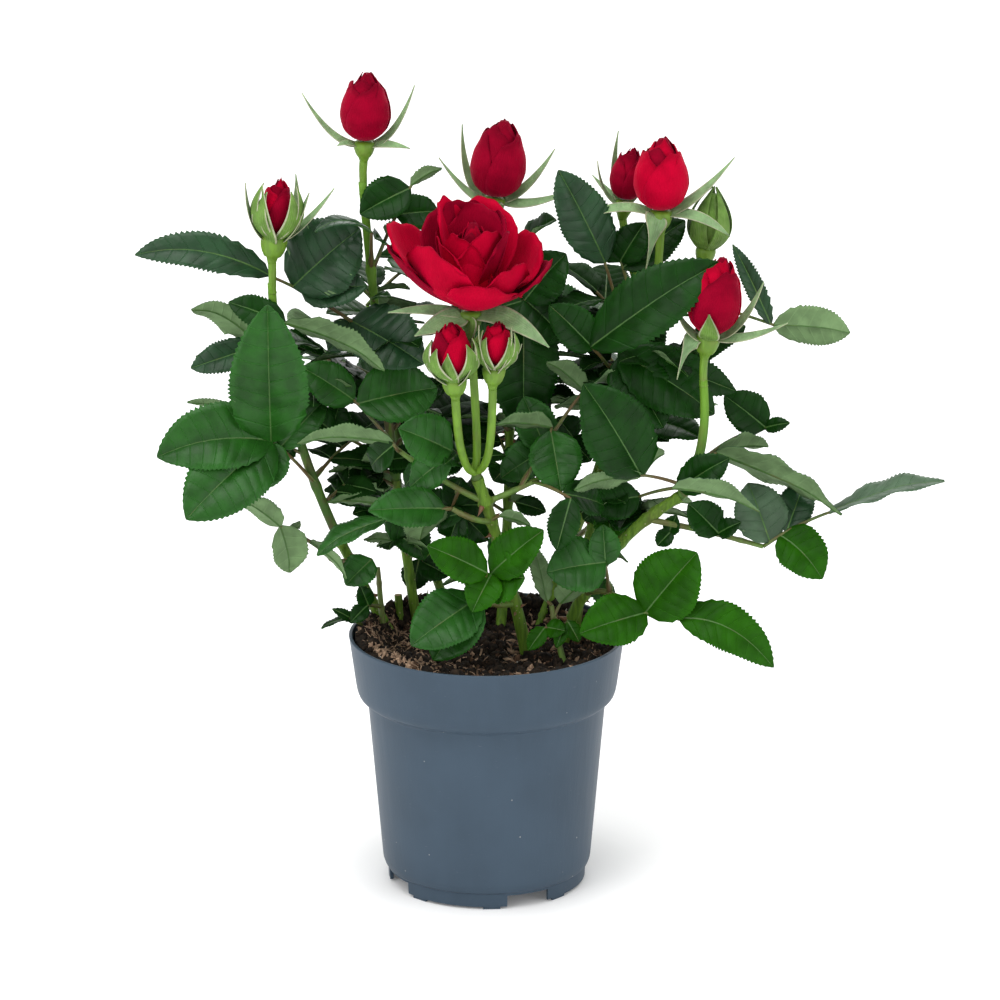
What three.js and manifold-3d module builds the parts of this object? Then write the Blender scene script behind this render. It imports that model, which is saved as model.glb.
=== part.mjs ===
// A miniature rose bush in its nursery pot. Millimetres, +Z up, origin at the centre of the pot's foot.
// The bush faces -Y. Canes stand in the soil and carry sprays of leaves, and the highest sprays carry the
// blooms.
import * as THREE from "three";
import { mergeVertices } from "three/addons/utils/BufferGeometryUtils.js";
import Module from "manifold-3d";

const wasm = await Module();
wasm.setup();

// The pot.
const RIM_RADIUS = 60;
const POT_HEIGHT = 112;
const COLLAR_HEIGHT = 25.6;
const COLLAR_RADIUS = 56.6; // at the collar's lower edge
const WALL = 1.5;
const BODY_TOP_RADIUS = 51.9;
const BODY_FOOT_RADIUS = 45.4;
const FOOT_RING_RADIUS = 43.2;
const FLOOR_HEIGHT = 7; // underside of the floor above the ground
const PAD_HEIGHT = 1; // pads under the foot ring
const NOTCH_ANGLE = 26; // degrees of each of the foot ring's four gaps
const NOTCHES = [-65, 25, 115, 205]; // degrees round from +X, the middle of each gap
const NOTCH_DEPTH = 9; // how deep a gap cuts across the foot ring
const RING_LIP = 0.6; // what a gap leaves of the foot ring under the floor
const PAD_LENGTH = 7.5;
const PAD_PLACES = [-22, 22]; // degrees from the middle of a gap to the pads beside it
const DRAIN_RADIUS = 3.6;
const DRAIN_PLACE = 33; // from the middle to each of the four drain holes
const BOSS_RADIUS = 12; // flat boss in the middle of the floor, which also reaches the ground
const BODY_TOP_HEIGHT = 82.8; // where the body meets the collar's slope
const RIM_WIDTH = 1.6;
const RIM_DROP = 1.4; // height of the rim's rounded edge
const POT_SIDES = 28;

// The soil and the clearance between touching pieces.
const SOIL_TOP = 104;
const SOIL_PLATEAU = 50;
const SOIL_EDGE = 108.5; // the soil's height beside the collar's wall
const GAP = 0.3;
const ROOT_DEPTH = 3; // how far a cane's line starts below the soil's top
const SOIL_SIDES = 18;

// Leaves, in mm or as a share of their own length.
const LEAF_THICKNESS = 1;
const LEAF_FOLD = 0.15; // how far a leaflet's edge rises above its midrib, per mm
const LEAF_ARCH = 0.1;
const BROAD_LEAF = 17; // mm, the width above which a leaflet has a fuller outline
const RACHIS_RADIUS = 0.8;
const RACHIS_ARCH = 0.08;
const RACHIS_TAPER = [1.2, 0.85]; // the rachis's radius at its start and end, as a share
const SWINGS = [0, 5, -5, 10, -10, 15, -15]; // how far back or forward a blocked leaflet's tip may swing

// Stems and blooms.
const CROWN_TIP_RADIUS = 1.9;
const REAR_TIP_RADIUS = 1.3;
const SHOOT_RADII = [1.5, 1.1];
const PEDICEL_RADII = [1.7, 1.9];
const SEPAL_THICKNESS = 1.1;
const SEPAL_ROOT = 1.4; // how far below the hip's top a sepal starts
const SEPAL_TURN = 0.5; // how far a sepal's face turns to the front
const PETAL_THICKNESS = 1.6;
const PETAL_CUP = 0.38;
const PETAL_START = [2.2, 3]; // above the hip's top, and out from the middle

// The ways a leaf's upper side can face.
const UP = [0, -0.1, 1];
const FRONT = [0, -0.85, 0.53];
const BACK = [0, 0.7, 0.71];
const AWAY = [0, 0.96, 0.15];

// ---------- the plan of the bush ----------

// Canes: foot on the soil, pull and top, then the radius at the foot and at the top.
const CANES = {
  left: [[-40, 19], [-55.5, 17, 131], [-66, 12, 155], 2.6, 2.2],
  back_left: [[-30, 32], [-35.5, 31, 137.5], [-39.5, 30, 172.5], 2.4, 2.1],
  centre: [[18, -4], [9, -6, 146], [-4, -15, 186.5], 2.8, 2.5],
  right: [[32, 7], [45, 3, 150], [83.5, -2, 174.5], 2.8, 2.4],
  right_back: [[38, 18], [46, 26, 165.5], [58, 30, 206], 2.5, 2.1],
  back: [[6, 30], [10, 46, 151], [10, 46, 191], 2.4, 2.1],
  rear_right: [[22, 38], [40.5, 54, 141], [51, 64, 173.5], 2.2, 1.9],
  rear_left: [[-14, 40], [-31, 56, 141], [-37, 68, 172], 2.2, 1.9],
};

// A stub left where a cane was cut: foot, height and radius.
const STUB = [[-38, 28], 16, 2];

// Crown stems go on from the top of the cane of the same name: pull and tip.
const CROWNS = {
  left: [[-90.5, 7, 214], [-91.5, 1, 268.5]],
  back_left: [[-48, 27, 242], [-53, 21, 308]],
  centre: [[-4.5, -15.5, 189.5], [-5, -16, 192.5]],
  right: [[96, -3, 191], [93, 0, 226]],
  right_back: [[68, 30, 231.5], [73.5, 28, 260.5]],
  back: [[8, 46, 245], [3, 37, 281.5]],
  rear_right: [[61, 74, 207.5], [65.5, 86, 239]],
  rear_left: [[-47.5, 80, 202.5], [-53.5, 90, 235.5]],
};

// Side shoots: the cane and the place on it, pull and tip. Two shoots come straight from the soil.
const SHOOTS = {
  centre_left: ["centre", 0.86, [-18, -16, 184], [-39.5, -12, 199.5]],
  centre_low: ["centre", 0.75, [-6, -22, 169], [-14.5, -22, 175]],
  centre_front: ["centre", 0.3, [4, -16, 128], [-2, -20, 134]],
  centre_right: ["centre", 0.86, [12, -10, 179], [25, -6, 185]],
  back_left_low: ["back_left", 0.7, [-38.5, 24, 158.5], [-42.5, 20, 160]],
  left_low: ["left", 0.72, [-64, 8, 138], [-70, 5, 147]],
  right_low: ["right", 0.8, [95.5, -3, 159.5], [119.5, -4, 152.5]],
  right_foot: ["right", 0.3, [53.5, -10, 138], [63.5, -18, 127]],
  rear_right_low: ["rear_right", 0.45, [44, 40, 150], [54, 34, 152]],
  rear_left_low: ["rear_left", 0.45, [-34, 62, 144], [-46, 66, 148]],
  low_right: [null, [34, -18], [30, -16, 116], [28, -14, 129]],
  low_left: [null, [-44.5, 10], [-46, 12, 120], [-47.5, 12, 138]],
};

// Leaves that show from the front: the stem, the place on it, the end of the rachis, and the leaflets,
// each with its place on the rachis, tip, width, the way that its upper side faces, and how far its middle
// is lifted where it is not 0.
const LEAVES = [
  ["left_top", 0.18, [-92, -12, 202], [
    [1, -92, -32, 266, 34, FRONT],
    [1, -140, -30, 201, 29, FRONT, 6],
    [1, -127, -44, 177, 33, FRONT, 2],
    [0.95, -111, -4, 212, 16, FRONT],
    [0.95, -95, -20, 183, 18, FRONT],
    [0.8, -69, 2, 217, 16, FRONT],
    [0.85, -128, 6, 217, 15, BACK, 4],
  ]],
  ["left_top", 0.45, [-98, 6, 240], [
    [1, -126, -2, 259, 17, BACK, 5],
    [1, -127, 2, 231, 14, FRONT, -2],
    [0.9, -110, 10, 221, 10, BACK],
  ]],
  ["left_top", 0.62, [-86, -3, 252], [
    [1, -42, -8, 234, 17, BACK],
    [1, -110, -2, 261, 14, FRONT],
  ]],
  ["back_left_top", 0.46, [-93, 8, 270], [
    [1, -150, 2, 281, 17, FRONT, 10],
    [0.78, -54, 12, 290, 34, FRONT],
    [0.7, -51, 6, 266, 20, FRONT],
    [0.25, -27, 2, 233, 29, FRONT],
    [0.2, -68, 12, 236, 16, FRONT],
  ]],
  ["back_left_top", 0.69, [-32, 20, 307], [
    [1, -19, 16, 316, 8, BACK],
    [0.95, -54, 12, 296, 19, FRONT],
    [0.62, -20, 26, 294, 16, FRONT],
    [0.4, -36, 16, 290, 9, BACK],
    [0.3, -47, 8, 287, 11, FRONT],
  ]],
  ["back_left_top", 0.7, [-49, 8, 289], [
    [1, -73, -4, 293, 12, UP, 6],
  ]],
  ["back_left_top", 0.56, [-49, 20, 257], [
    [1, -41, 16, 259, 7, UP],
  ]],
  ["back_left_top", 0.04, [-67, 18, 198], [
    [1, -82, 12, 211, 14, FRONT],
    [1, -64, 26, 208, 14, FRONT],
  ]],
  ["back_left_top", 0.02, [-48, 30, 177], [
    [1, -65, 28, 175, 15, BACK],
    [0.9, -45, 34, 165, 16, BACK],
  ]],
  ["centre_left", 1, [-57, 0, 217], [
    [1, -79, -4, 233, 19, FRONT],
    [0.9, -21, 10, 220, 28, FRONT],
  ]],
  ["centre_left", 0.95, [-40, -14, 202], [
    [1, -81, -22, 206, 15, BACK],
    [0.8, -50, -6, 189, 14, FRONT],
  ]],
  ["centre_left", 0.5, [-15, -20, 200], [
    [1, -37, -30, 213, 23, FRONT],
    [0.8, -33, -12, 183, 16, FRONT],
  ]],
  ["centre_low", 1, [-43, -26, 171], [
    [1, -73, -34, 159, 17, UP],
    [0.12, -50, -38, 179, 19, FRONT],
    [0.3, -29, -8, 157, 20, UP],
  ]],
  ["centre_front", 1, [-4, -27, 136], [
    [1, -32, -47, 122, 26, FRONT],
    [0.95, -23, -38, 112, 23, FRONT],
  ]],
  ["centre_front", 0.8, [2, -25, 147], [
    [1, 24, -30, 168, 20, FRONT],
    [0.7, 16, -34, 148, 23, FRONT],
  ]],
  ["centre_front", 0.95, [0, -31, 149], [
    [1, -25, -40, 164, 19, FRONT],
    [0.7, -19, -16, 140, 16, UP],
  ]],
  ["back_left_low", 1, [-45, 14, 166], [
    [1, -69, 6, 170, 9, BACK],
    [0.5, -27, 24, 140, 16, FRONT],
  ]],
  ["left_low", 1, [-89, -2, 161], [
    [1, -107, -8, 176, 17, BACK],
    [1, -84, -12, 143, 19, BACK],
    [0.85, -81, 4, 159, 10, BACK],
    [0.35, -59, -6, 141, 11, BACK],
  ]],
  ["left_low", 0.6, [-50, 4, 144], [
    [1, -61, -4, 135, 15, FRONT],
  ]],
  ["right_top", 0.12, [66, -12, 187], [
    [1, 42, -22, 230, 31, FRONT],
    [0.95, 37, -18, 183, 15, BACK],
    [0.95, 76, 0, 194, 18, BACK],
  ]],
  ["right_top", 0.06, [80, -18, 183], [
    [1, 117, -26, 176, 19, BACK],
    [0.4, 103, -20, 197, 16, FRONT],
  ]],
  ["right_top", 0.3, [99, 2, 193], [
    [1, 154, -16, 173, 27, BACK, -4],
    [1, 122, 14, 193, 14, BACK],
  ]],
  ["right_top", 0.35, [121, 20, 199], [
    [1, 103, 22, 213, 19, FRONT],
    [1, 131, 14, 203, 7, FRONT],
  ]],
  ["right_back_top", 0.9, [124, 20, 245], [
    [1, 157, 14, 244, 18, AWAY],
    [0.97, 106, 24, 280, 9, FRONT],
  ]],
  ["right_low", 1, [148, -4, 168], [
    [1, 196, -8, 186, 17, UP, -3],
    [0.25, 145, -14, 141, 21, FRONT, 4],
    [0.1, 113, 4, 179, 23, FRONT],
    [0.35, 138, 10, 178, 16, FRONT],
  ]],
  ["right_low", 0.6, [100, -6, 159], [
    [1, 87, -4, 172, 16, FRONT],
    [0.9, 109, -12, 166, 9, FRONT],
  ]],
  ["right_foot", 1, [83, -28, 127], [
    [1, 124, -36, 108, 21, FRONT, 13],
    [0.25, 90, -24, 156, 31, FRONT],
    [0.25, 40, -34, 123, 23, FRONT],
  ]],
  ["right_foot", 0.5, [51, -16, 149], [
    [1, 26, -26, 148, 25, FRONT],
    [0.9, 50, -12, 165, 14, FRONT],
  ]],
  ["centre_right", 1, [28, 0, 205], [
    [1, 4, -8, 209, 16, BACK],
    [0.9, 32, -14, 180, 23, FRONT],
  ]],
  ["centre_right", 0.8, [36, -24, 180], [
    [1, 30, -28, 158, 14, FRONT],
    [0.8, 51, -10, 170, 16, FRONT],
  ]],
  ["centre_right", 0.6, [42, 12, 218], [
    [1, 26, 8, 233, 14, BACK],
  ]],
  ["right_back_top", 0.3, [51, 28, 271], [
    [1, 31, 22, 313, 23, FRONT],
  ]],
  ["right_back_top", 0.12, [45, 6, 239], [
    [1, 98, -6, 280, 28, FRONT],
    [0.95, 27, 4, 258, 18, FRONT],
  ]],
  ["right_back_top", 0.08, [57, 12, 235], [
    [1, 99, 4, 210, 29, FRONT],
    [0.9, 76, -2, 205, 27, FRONT],
    [0.9, 109, 16, 217, 18, FRONT],
  ]],
  ["right_back_top", 0.55, [58, 34, 270], [
    [1, 50, 36, 283, 14, FRONT],
    [1, 68, 30, 288, 16, FRONT],
    [0.9, 86, 30, 287, 20, FRONT],
  ]],
  ["back_top", 0.75, [15, 36, 277], [
    [1, 30, 32, 289, 17, UP],
    [0.9, -11, 22, 283, 16, UP],
  ]],
  ["back_top", 0.5, [17, 30, 254], [
    [1, 34, 28, 275, 23, FRONT],
    [0.95, 35, 24, 237, 25, FRONT],
    [0.9, 16, 16, 198, 31, FRONT],
    [0.9, -20, 20, 243, 23, FRONT],
  ]],
  ["low_right", 1, [26, -14, 131], [
    [1, 20, -18, 158, 9, BACK],
  ]],
  ["low_right", 0.8, [32, -14, 130], [
    [1, 42, -22, 142, 14, BACK],
  ]],
  ["centre_right", 0.9, [26, 8, 193], [
    [1, 6, 4, 181, 17, FRONT],
    [0.9, 16, 8, 215, 18, FRONT],
  ]],
  ["right_top", 0.12, [66, 6, 172], [
    [1, 45, 2, 169, 18, FRONT],
  ]],
];

// Blooms: the crown and the place on its stem, the pedicel's pull, the top of the hip, the petals' apex and
// width, the hip's radius and height, and the sepals: tip from the hip's top, width, then how far out and up
// the sepal first goes.
const BLOOMS = {
  left: {
    stem: ["left", 0.96],
    pull: [-91, 0, 272],
    hub: [-90, 0, 289.5],
    apex: [-87, 0, 315],
    width: 15,
    hip: [5.4, 11],
    sepals: [
      [-12, -2, 23.5, 5, 13, 6],
      [-4.5, -7, 24, 12, 11, 6],
      [15, -3, 19.5, 9, 11, 5],
      [25.5, 3, 20, 5, 14, 4],
      [9, 8, 25, 5, 14, 6],
    ],
  },
  back_left: {
    stem: ["back_left", 0.96],
    pull: [-53, 21, 312],
    hub: [-52, 20, 326],
    apex: [-50.5, 18, 357],
    width: 22.5,
    hip: [4.3, 8],
    sepals: [
      [-26.5, 0, 21, 5, 15, -1],
      [21.5, 2, 24, 5, 14, 0],
      [-11.5, -4, -1, 4, 8, 1],
      [19.5, -5, -2, 5, 10, 0],
      [3.5, 18, 9.5, 5, 12, -2],
    ],
  },
  back: {
    stem: ["back", 0.96],
    pull: [3, 36, 286.5],
    hub: [3.5, 35, 298],
    apex: [8, 33, 333],
    width: 25.5,
    hip: [4.6, 9],
    sepals: [
      [-24, -2, 18, 6, 12, -1],
      [-14, 8, 30.5, 5, 17, 2],
      [26, 4, 20.5, 6, 15, 1],
      [36.5, -4, 5.5, 6, 16, -6],
      [3, -14, 0.5, 5, 9, -3],
    ],
  },
  right_back: {
    stem: ["right_back", 0.96],
    pull: [74.5, 26, 274],
    hub: [75, 25, 294.5],
    apex: [75.5, 23, 327.5],
    width: 25,
    hip: [4.6, 9],
    sepals: [
      [-34.5, 2, -4.5, 6, 18, 5],
      [-7, -12, -25.5, 11, 8, -4],
      [31.5, 4, 22.5, 6, 16, 3],
      [28, 12, 16.5, 6, 15, 1],
      [29.5, -6, -10, 6, 17, 1],
    ],
  },
  right_back_second: {
    stem: ["right_back", 0.72],
    pull: [62, 44, 265.5],
    hub: [60, 46, 294],
    apex: [63.5, 45, 318],
    width: 17,
    hip: [3.8, 8],
    sepals: [
      [-12, -2, 18, 4, 12, 3],
      [-3, 4, 30, 4, 13, 6],
      [10, 12, 20.5, 4, 12, 4],
      [-14, 12, 8.5, 4, 10, 2],
    ],
  },
  right_back_closed: {
    stem: ["right_back", 0.6],
    pull: [92, 34, 245.5],
    hub: [95, 36, 275.5],
    apex: [98, 36, 299.5],
    width: 17,
    hip: [4.2, 8],
    closed: true,
    sepals: [],
  },
  right: {
    stem: ["right", 0.96],
    pull: [92.5, 0, 230],
    hub: [95, 0, 246],
    apex: [101, -1, 281],
    width: 24,
    hip: [5, 10],
    sepals: [
      [-14, -3, 13, 8, 13, 3],
      [-0.5, -14, 12.5, 9, 14, 2],
      [23.5, 2, 23, 6, 15, 1],
      [33.5, -5, 6.5, 6, 17, -3],
      [-13.5, -5, -18.5, 8, 11, 1],
    ],
  },
  centre_left: {
    stem: ["centre", 0.5],
    pull: [-11.5, -27, 191],
    hub: [-13.5, -38, 237.5],
    apex: [-15, -40, 262.5],
    width: 18.5,
    hip: [5, 9],
    sepals: [
      [-11.5, -4, 13, 9, 13, 4],
      [-2.5, -10, 13, 8, 13, 4],
      [9, -6, 15.5, 10, 12, 4],
      [4, 8, 14.5, 6, 10, 4],
      [-9.5, 7, 14.5, 6, 10, 4],
    ],
  },
  centre_right: {
    stem: ["centre", 0.6],
    pull: [3, -24, 191],
    hub: [3.5, -36, 242],
    apex: [5.5, -38, 262.5],
    width: 14,
    hip: [4.6, 9.5],
    sepals: [
      [-6.5, -5, 19, 9, 10, 5],
      [7, -5, 18, 9, 10, 5],
      [11.5, 2, 9, 4, 9, 4],
      [0, 8, 14, 5, 9, 4],
    ],
  },
  centre: {
    stem: ["centre", 0.9],
    pull: [-2.5, -18, 194],
    hub: [-6.5, -24, 262.5],
    apex: [-5.5, -26, 299],
    width: 70,
    hip: [4.6, 10],
    open: true,
    sepals: [
      [-35, -2, 0, 7, 16, 2],
      [-23.5, -14, -7, 12, 12, -3],
      [33, -12, -12.5, 11, 16, 2],
      [-1, -6, -14.5, 8, 5, -5],
      [5.5, 24, 3.5, 7, 14, 0],
    ],
  },
};

// The open rose: its furled heart, and the loose petals round it. A petal's row is its turn about the bloom
// from its right towards its back, length, width, then its slope away from upright at the start and the end.
const HEART_WIDTH = 23;
const HEART_HEIGHT = 40;
const OPEN_PETALS = [
  [80, 48, 33, 42, 12],
  [163, 50, 35, 66, 24],
  [188, 46, 28, 76, 26],
  [226, 50, 36, 74, 3],
  [292, 33, 36, 86, 20],
  [320, 40, 27, 78, 4],
  [34, 48, 33, 78, 8],
  [2, 42, 28, 84, 26],
];

// Sprays of leaves that fill the back and the inside: the stem, how many leaves, the first place and the last
// place on it, the way that the first leaf points (degrees from +X towards +Y) and the turn between two
// leaves, the rachis length and the end leaflet's length.
const FILLERS = [
  ["rear_right_top", 5, 0.02, 1, 20, 72, 27, 40],
  ["rear_left_top", 5, 0.02, 1, 60, 72, 27, 40],
  ["back_top", 3, 0.05, 0.6, 40, 70, 26, 38],
  ["right_back_top", 3, 0.04, 0.5, 10, 70, 28, 38],
  ["left_top", 2, 0.2, 0.6, 50, 60, 26, 38],
  ["back_left_top", 3, 0.1, 0.6, 60, 60, 28, 38],
  ["rear_right_low", 1, 1, 1, 330, 80, 18, 32],
  ["rear_left_low", 2, 0.5, 1, 150, 80, 18, 32],
];

// ---------- small tools ----------

const V = (a) => new THREE.Vector3(a[0], a[1], a[2]);
const degrees = THREE.MathUtils.degToRad;

// Seeded numbers from 0 to 1.
function seeded(seed) {
  let state = (seed * 7919 + 12345) >>> 0;
  return () => {
    state = (Math.imul(state, 1664525) + 1013904223) >>> 0;
    return state / 4294967296;
  };
}

// A closed mesh as a solid. Faces that have no area are dropped, and an inside-out mesh is turned round.
function solid(geometry) {
  const bare = geometry.index ? geometry.toNonIndexed() : geometry.clone();
  bare.deleteAttribute("normal");
  bare.deleteAttribute("uv");
  const merged = mergeVertices(bare, 1e-4);
  const index = merged.index.array;
  const faces = [];
  for (let i = 0; i < index.length; i += 3) {
    const [a, b, c] = [index[i], index[i + 1], index[i + 2]];
    if (a !== b && b !== c && c !== a) faces.push([a, b, c]);
  }
  const made = (list) =>
    new wasm.Manifold(
      new wasm.Mesh({
        numProp: 3,
        vertProperties: new Float32Array(merged.attributes.position.array),
        triVerts: new Uint32Array(list.flat()),
      }),
    );
  const first = made(faces);
  return first.volume() >= 0 ? first : made(faces.map(([a, b, c]) => [a, c, b]));
}

const union = (list) => wasm.Manifold.union(list);

// The largest of a solid's separate bodies.
function largest(whole) {
  return whole.decompose().reduce((a, b) => (b.volume() > a.volume() ? b : a));
}

// A curve from start to end, drawn towards pull. Its side and normal turn with it, the normal kept near face.
function bow(start, pull, end, face) {
  const curve = new THREE.QuadraticBezierCurve3(start, pull, end);
  return (t) => {
    const p = curve.getPoint(t);
    const along = curve.getTangent(t);
    const side = along.clone().cross(face).normalize();
    return { p, along, side, normal: side.clone().cross(along) };
  };
}

// Carries a lathe that stands on Y from 0 to 1 onto a bow. shape(x, z, t) gives the offsets there.
function carry(profile, sides, frame, shape) {
  const lathe = new THREE.LatheGeometry(
    profile.map(([r, t]) => new THREE.Vector2(r, t)),
    sides,
  );
  const place = lathe.attributes.position;
  for (let i = 0; i < place.count; i++) {
    const t = place.getY(i);
    const { p, side, normal } = frame(t);
    const [s, n] = shape(place.getX(i), place.getZ(i), t);
    place.setXYZ(i, ...p.addScaledVector(side, s).addScaledVector(normal, n).toArray());
  }
  return solid(lathe);
}

// A tapering round limb along a bow.
function limb(frame, r0, r1, sides, steps) {
  const profile = [[0, 0]];
  for (let i = 0; i <= steps; i++) profile.push([r0 + ((r1 - r0) * i) / steps, i / steps]);
  profile.push([0, 1]);
  return carry(profile, sides, frame, (x, z) => [x, z]);
}

// A thin blade on a bow, flat above and keeled along its midrib, with an outline of half widths and places.
function blade(frame, outline, width, thickness, fold) {
  const half = width / 2 / Math.sin(degrees(120));
  return carry(outline, 3, frame, (x, z) => [x * half, -z * thickness * 0.66 + Math.abs(x) * half * fold]);
}

// A petal on a bow: thin, and cupped across.
function petal(frame, outline, width, thickness, cup) {
  const half = width / 2;
  return carry(outline, 4, frame, (x, z) => [x * half, (z * thickness) / 2 + x * x * cup * half]);
}

const LEAF_OUTLINE = [
  [0, 0],
  [0.8, 0.14],
  [1, 0.42],
  [0.62, 0.78],
  [0, 1],
];
const PLAIN_LEAF_OUTLINE = [
  [0, 0],
  [0.94, 0.26],
  [0.8, 0.66],
  [0, 1],
];
const SEPAL_OUTLINE = [
  [0, 0],
  [1, 0.25],
  [0.35, 0.75],
  [0, 1],
];
const PETAL_OUTLINE = [
  [0, 0],
  [0.62, 0.3],
  [1, 0.7],
  [0.82, 0.93],
  [0, 1],
];
const BUD_PROFILE = [
  [0, 0],
  [0.34, 0.01],
  [0.8, 0.12],
  [1, 0.34],
  [0.93, 0.56],
  [0.62, 0.8],
  [0.26, 1],
  [0, 0.985],
];
const HIP_PROFILE = [
  [0, 0],
  [0.42, 0],
  [0.96, 0.6],
  [0.98, 0.86],
  [0.8, 1],
  [0, 1],
];

// ---------- clear space ----------

// Every placed piece, with its node and the leaf that it belongs to.
const placed = [];

function remember(body, node, leaf = null) {
  placed.push({ body, box: body.boundingBox(), node, leaf });
}

const apart = (a, b) => a.min.some((low, i) => low > b.max[i] || b.min[i] > a.max[i]);

function meets(body, through) {
  const box = body.boundingBox();
  return placed.some((q) => !through(q) && !apart(box, q.box) && body.intersect(q.body).volume() > 1e-6);
}

// ---------- stems ----------

// The nodes: name, pieces to join, what is cut away, and the colour and roughness.
const nodes = new Map();

function piece(name, body, color, roughness) {
  if (!nodes.has(name)) nodes.set(name, { parts: [], cuts: [], color, roughness });
  nodes.get(name).parts.push(body);
}

const WOOD = 0x5f8f2c;
const FOLIAGE = 0x1f5a2a;
const PETAL_RED = 0xb4061f;
const stems = {};
const FOOT_LEVEL = SOIL_TOP + GAP;

for (const [name, [foot, pull, top, r0, r1]] of Object.entries(CANES)) {
  const frame = bow(V([foot[0], foot[1], SOIL_TOP - ROOT_DEPTH]), V(pull), V(top), V([0, -1, 0]));
  const grown = limb(frame, r0, r1, 6, 4).trimByPlane([0, 0, 1], FOOT_LEVEL);
  stems["cane_" + name] = { frame, gauge: limb(frame, r0 + GAP + 0.1, r1 + GAP + 0.1, 6, 4) };
  piece("cane_" + name, grown, WOOD, 0.55);
  remember(grown, "cane_" + name);
}
{
  const [foot, height, radius] = STUB;
  const bottom = V([foot[0], foot[1], FOOT_LEVEL]);
  const top = V([foot[0] - 1, foot[1] + 1, FOOT_LEVEL + height]);
  const upright = bow(bottom, bottom.clone().lerp(top, 0.5), top, V([0, -1, 0]));
  const stub = limb(upright, radius, radius * 0.9, 8, 2);
  piece("cut_stub", stub, WOOD, 0.6);
  remember(stub, "cut_stub");
}
for (const [name, [pull, tip]] of Object.entries(CROWNS)) {
  const below = stems["cane_" + name].frame(1);
  const frame = bow(below.p, V(pull), V(tip), V([0, -1, 0]));
  const from = CANES[name][4];
  const to = name.startsWith("rear") ? REAR_TIP_RADIUS : CROWN_TIP_RADIUS;
  const level = below.p.dot(below.along) + GAP + 0.1;
  const grown = limb(frame, from, to, 6, name === "centre" ? 1 : 4).trimByPlane(below.along.toArray(), level);
  const node = name + "_top";
  stems[node] = { frame };
  piece(node, grown, FOLIAGE, 0.5);
  remember(grown, node);
}
for (const [name, [cane, at, pull, tip]] of Object.entries(SHOOTS)) {
  const start = cane ? stems["cane_" + cane].frame(at).p : V([at[0], at[1], SOIL_TOP - ROOT_DEPTH]);
  const frame = bow(start, V(pull), V(tip), V([0, -1, 0.01]));
  const whole = limb(frame, ...SHOOT_RADII, 5, 3);
  const clear = () => largest(whole.subtract(stems["cane_" + cane].gauge));
  const grown = cane ? clear() : whole.trimByPlane([0, 0, 1], FOOT_LEVEL);
  stems[name] = { frame };
  piece(name, grown, FOLIAGE, 0.5);
  if (cane) nodes.get(name).cuts.push(stems["cane_" + cane].gauge);
  remember(grown, name);
}

// ---------- blooms ----------

// A furled bud: an egg with a soft spiral, from just above the hip to its apex.
function bud(frame, width, grow) {
  return carry(BUD_PROFILE, 8, frame, (x, z, t) => {
    const r = (width / 2) * (1 + 0.05 * Math.cos(2 * Math.atan2(z, x) - 5 * t)) + grow;
    return [x * r, z * r];
  });
}

// The open rose: cupped petals that all start inside the hip's top.
function openRose(hub, axis, grow) {
  const right = V([0, 1, 0]).cross(axis).normalize();
  const behind = axis.clone().cross(right);
  const made = OPEN_PETALS.map(([turn, length, width, first, last]) => {
    const out = right.clone().multiplyScalar(Math.cos(degrees(turn)));
    out.addScaledVector(behind, Math.sin(degrees(turn)));
    const step = (from, slope) =>
      from
        .clone()
        .addScaledVector(out, (Math.sin(degrees(slope)) * length) / 2)
        .addScaledVector(axis, (Math.cos(degrees(slope)) * length) / 2);
    const start = hub.clone().addScaledVector(axis, PETAL_START[0]).addScaledVector(out, PETAL_START[1]);
    const pull = step(start, first);
    const frame = bow(start, pull, step(pull, last), axis.clone().addScaledVector(out, -1));
    return petal(frame, PETAL_OUTLINE, width + 2 * grow, PETAL_THICKNESS + 2 * grow, PETAL_CUP);
  });
  const foot = hub.clone().addScaledVector(axis, GAP + 0.2 - grow);
  const top = hub.clone().addScaledVector(axis, HEART_HEIGHT + grow);
  made.push(bud(bow(foot, foot.clone().lerp(top, 0.5), top, right), HEART_WIDTH, grow));
  return union(made);
}

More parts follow.
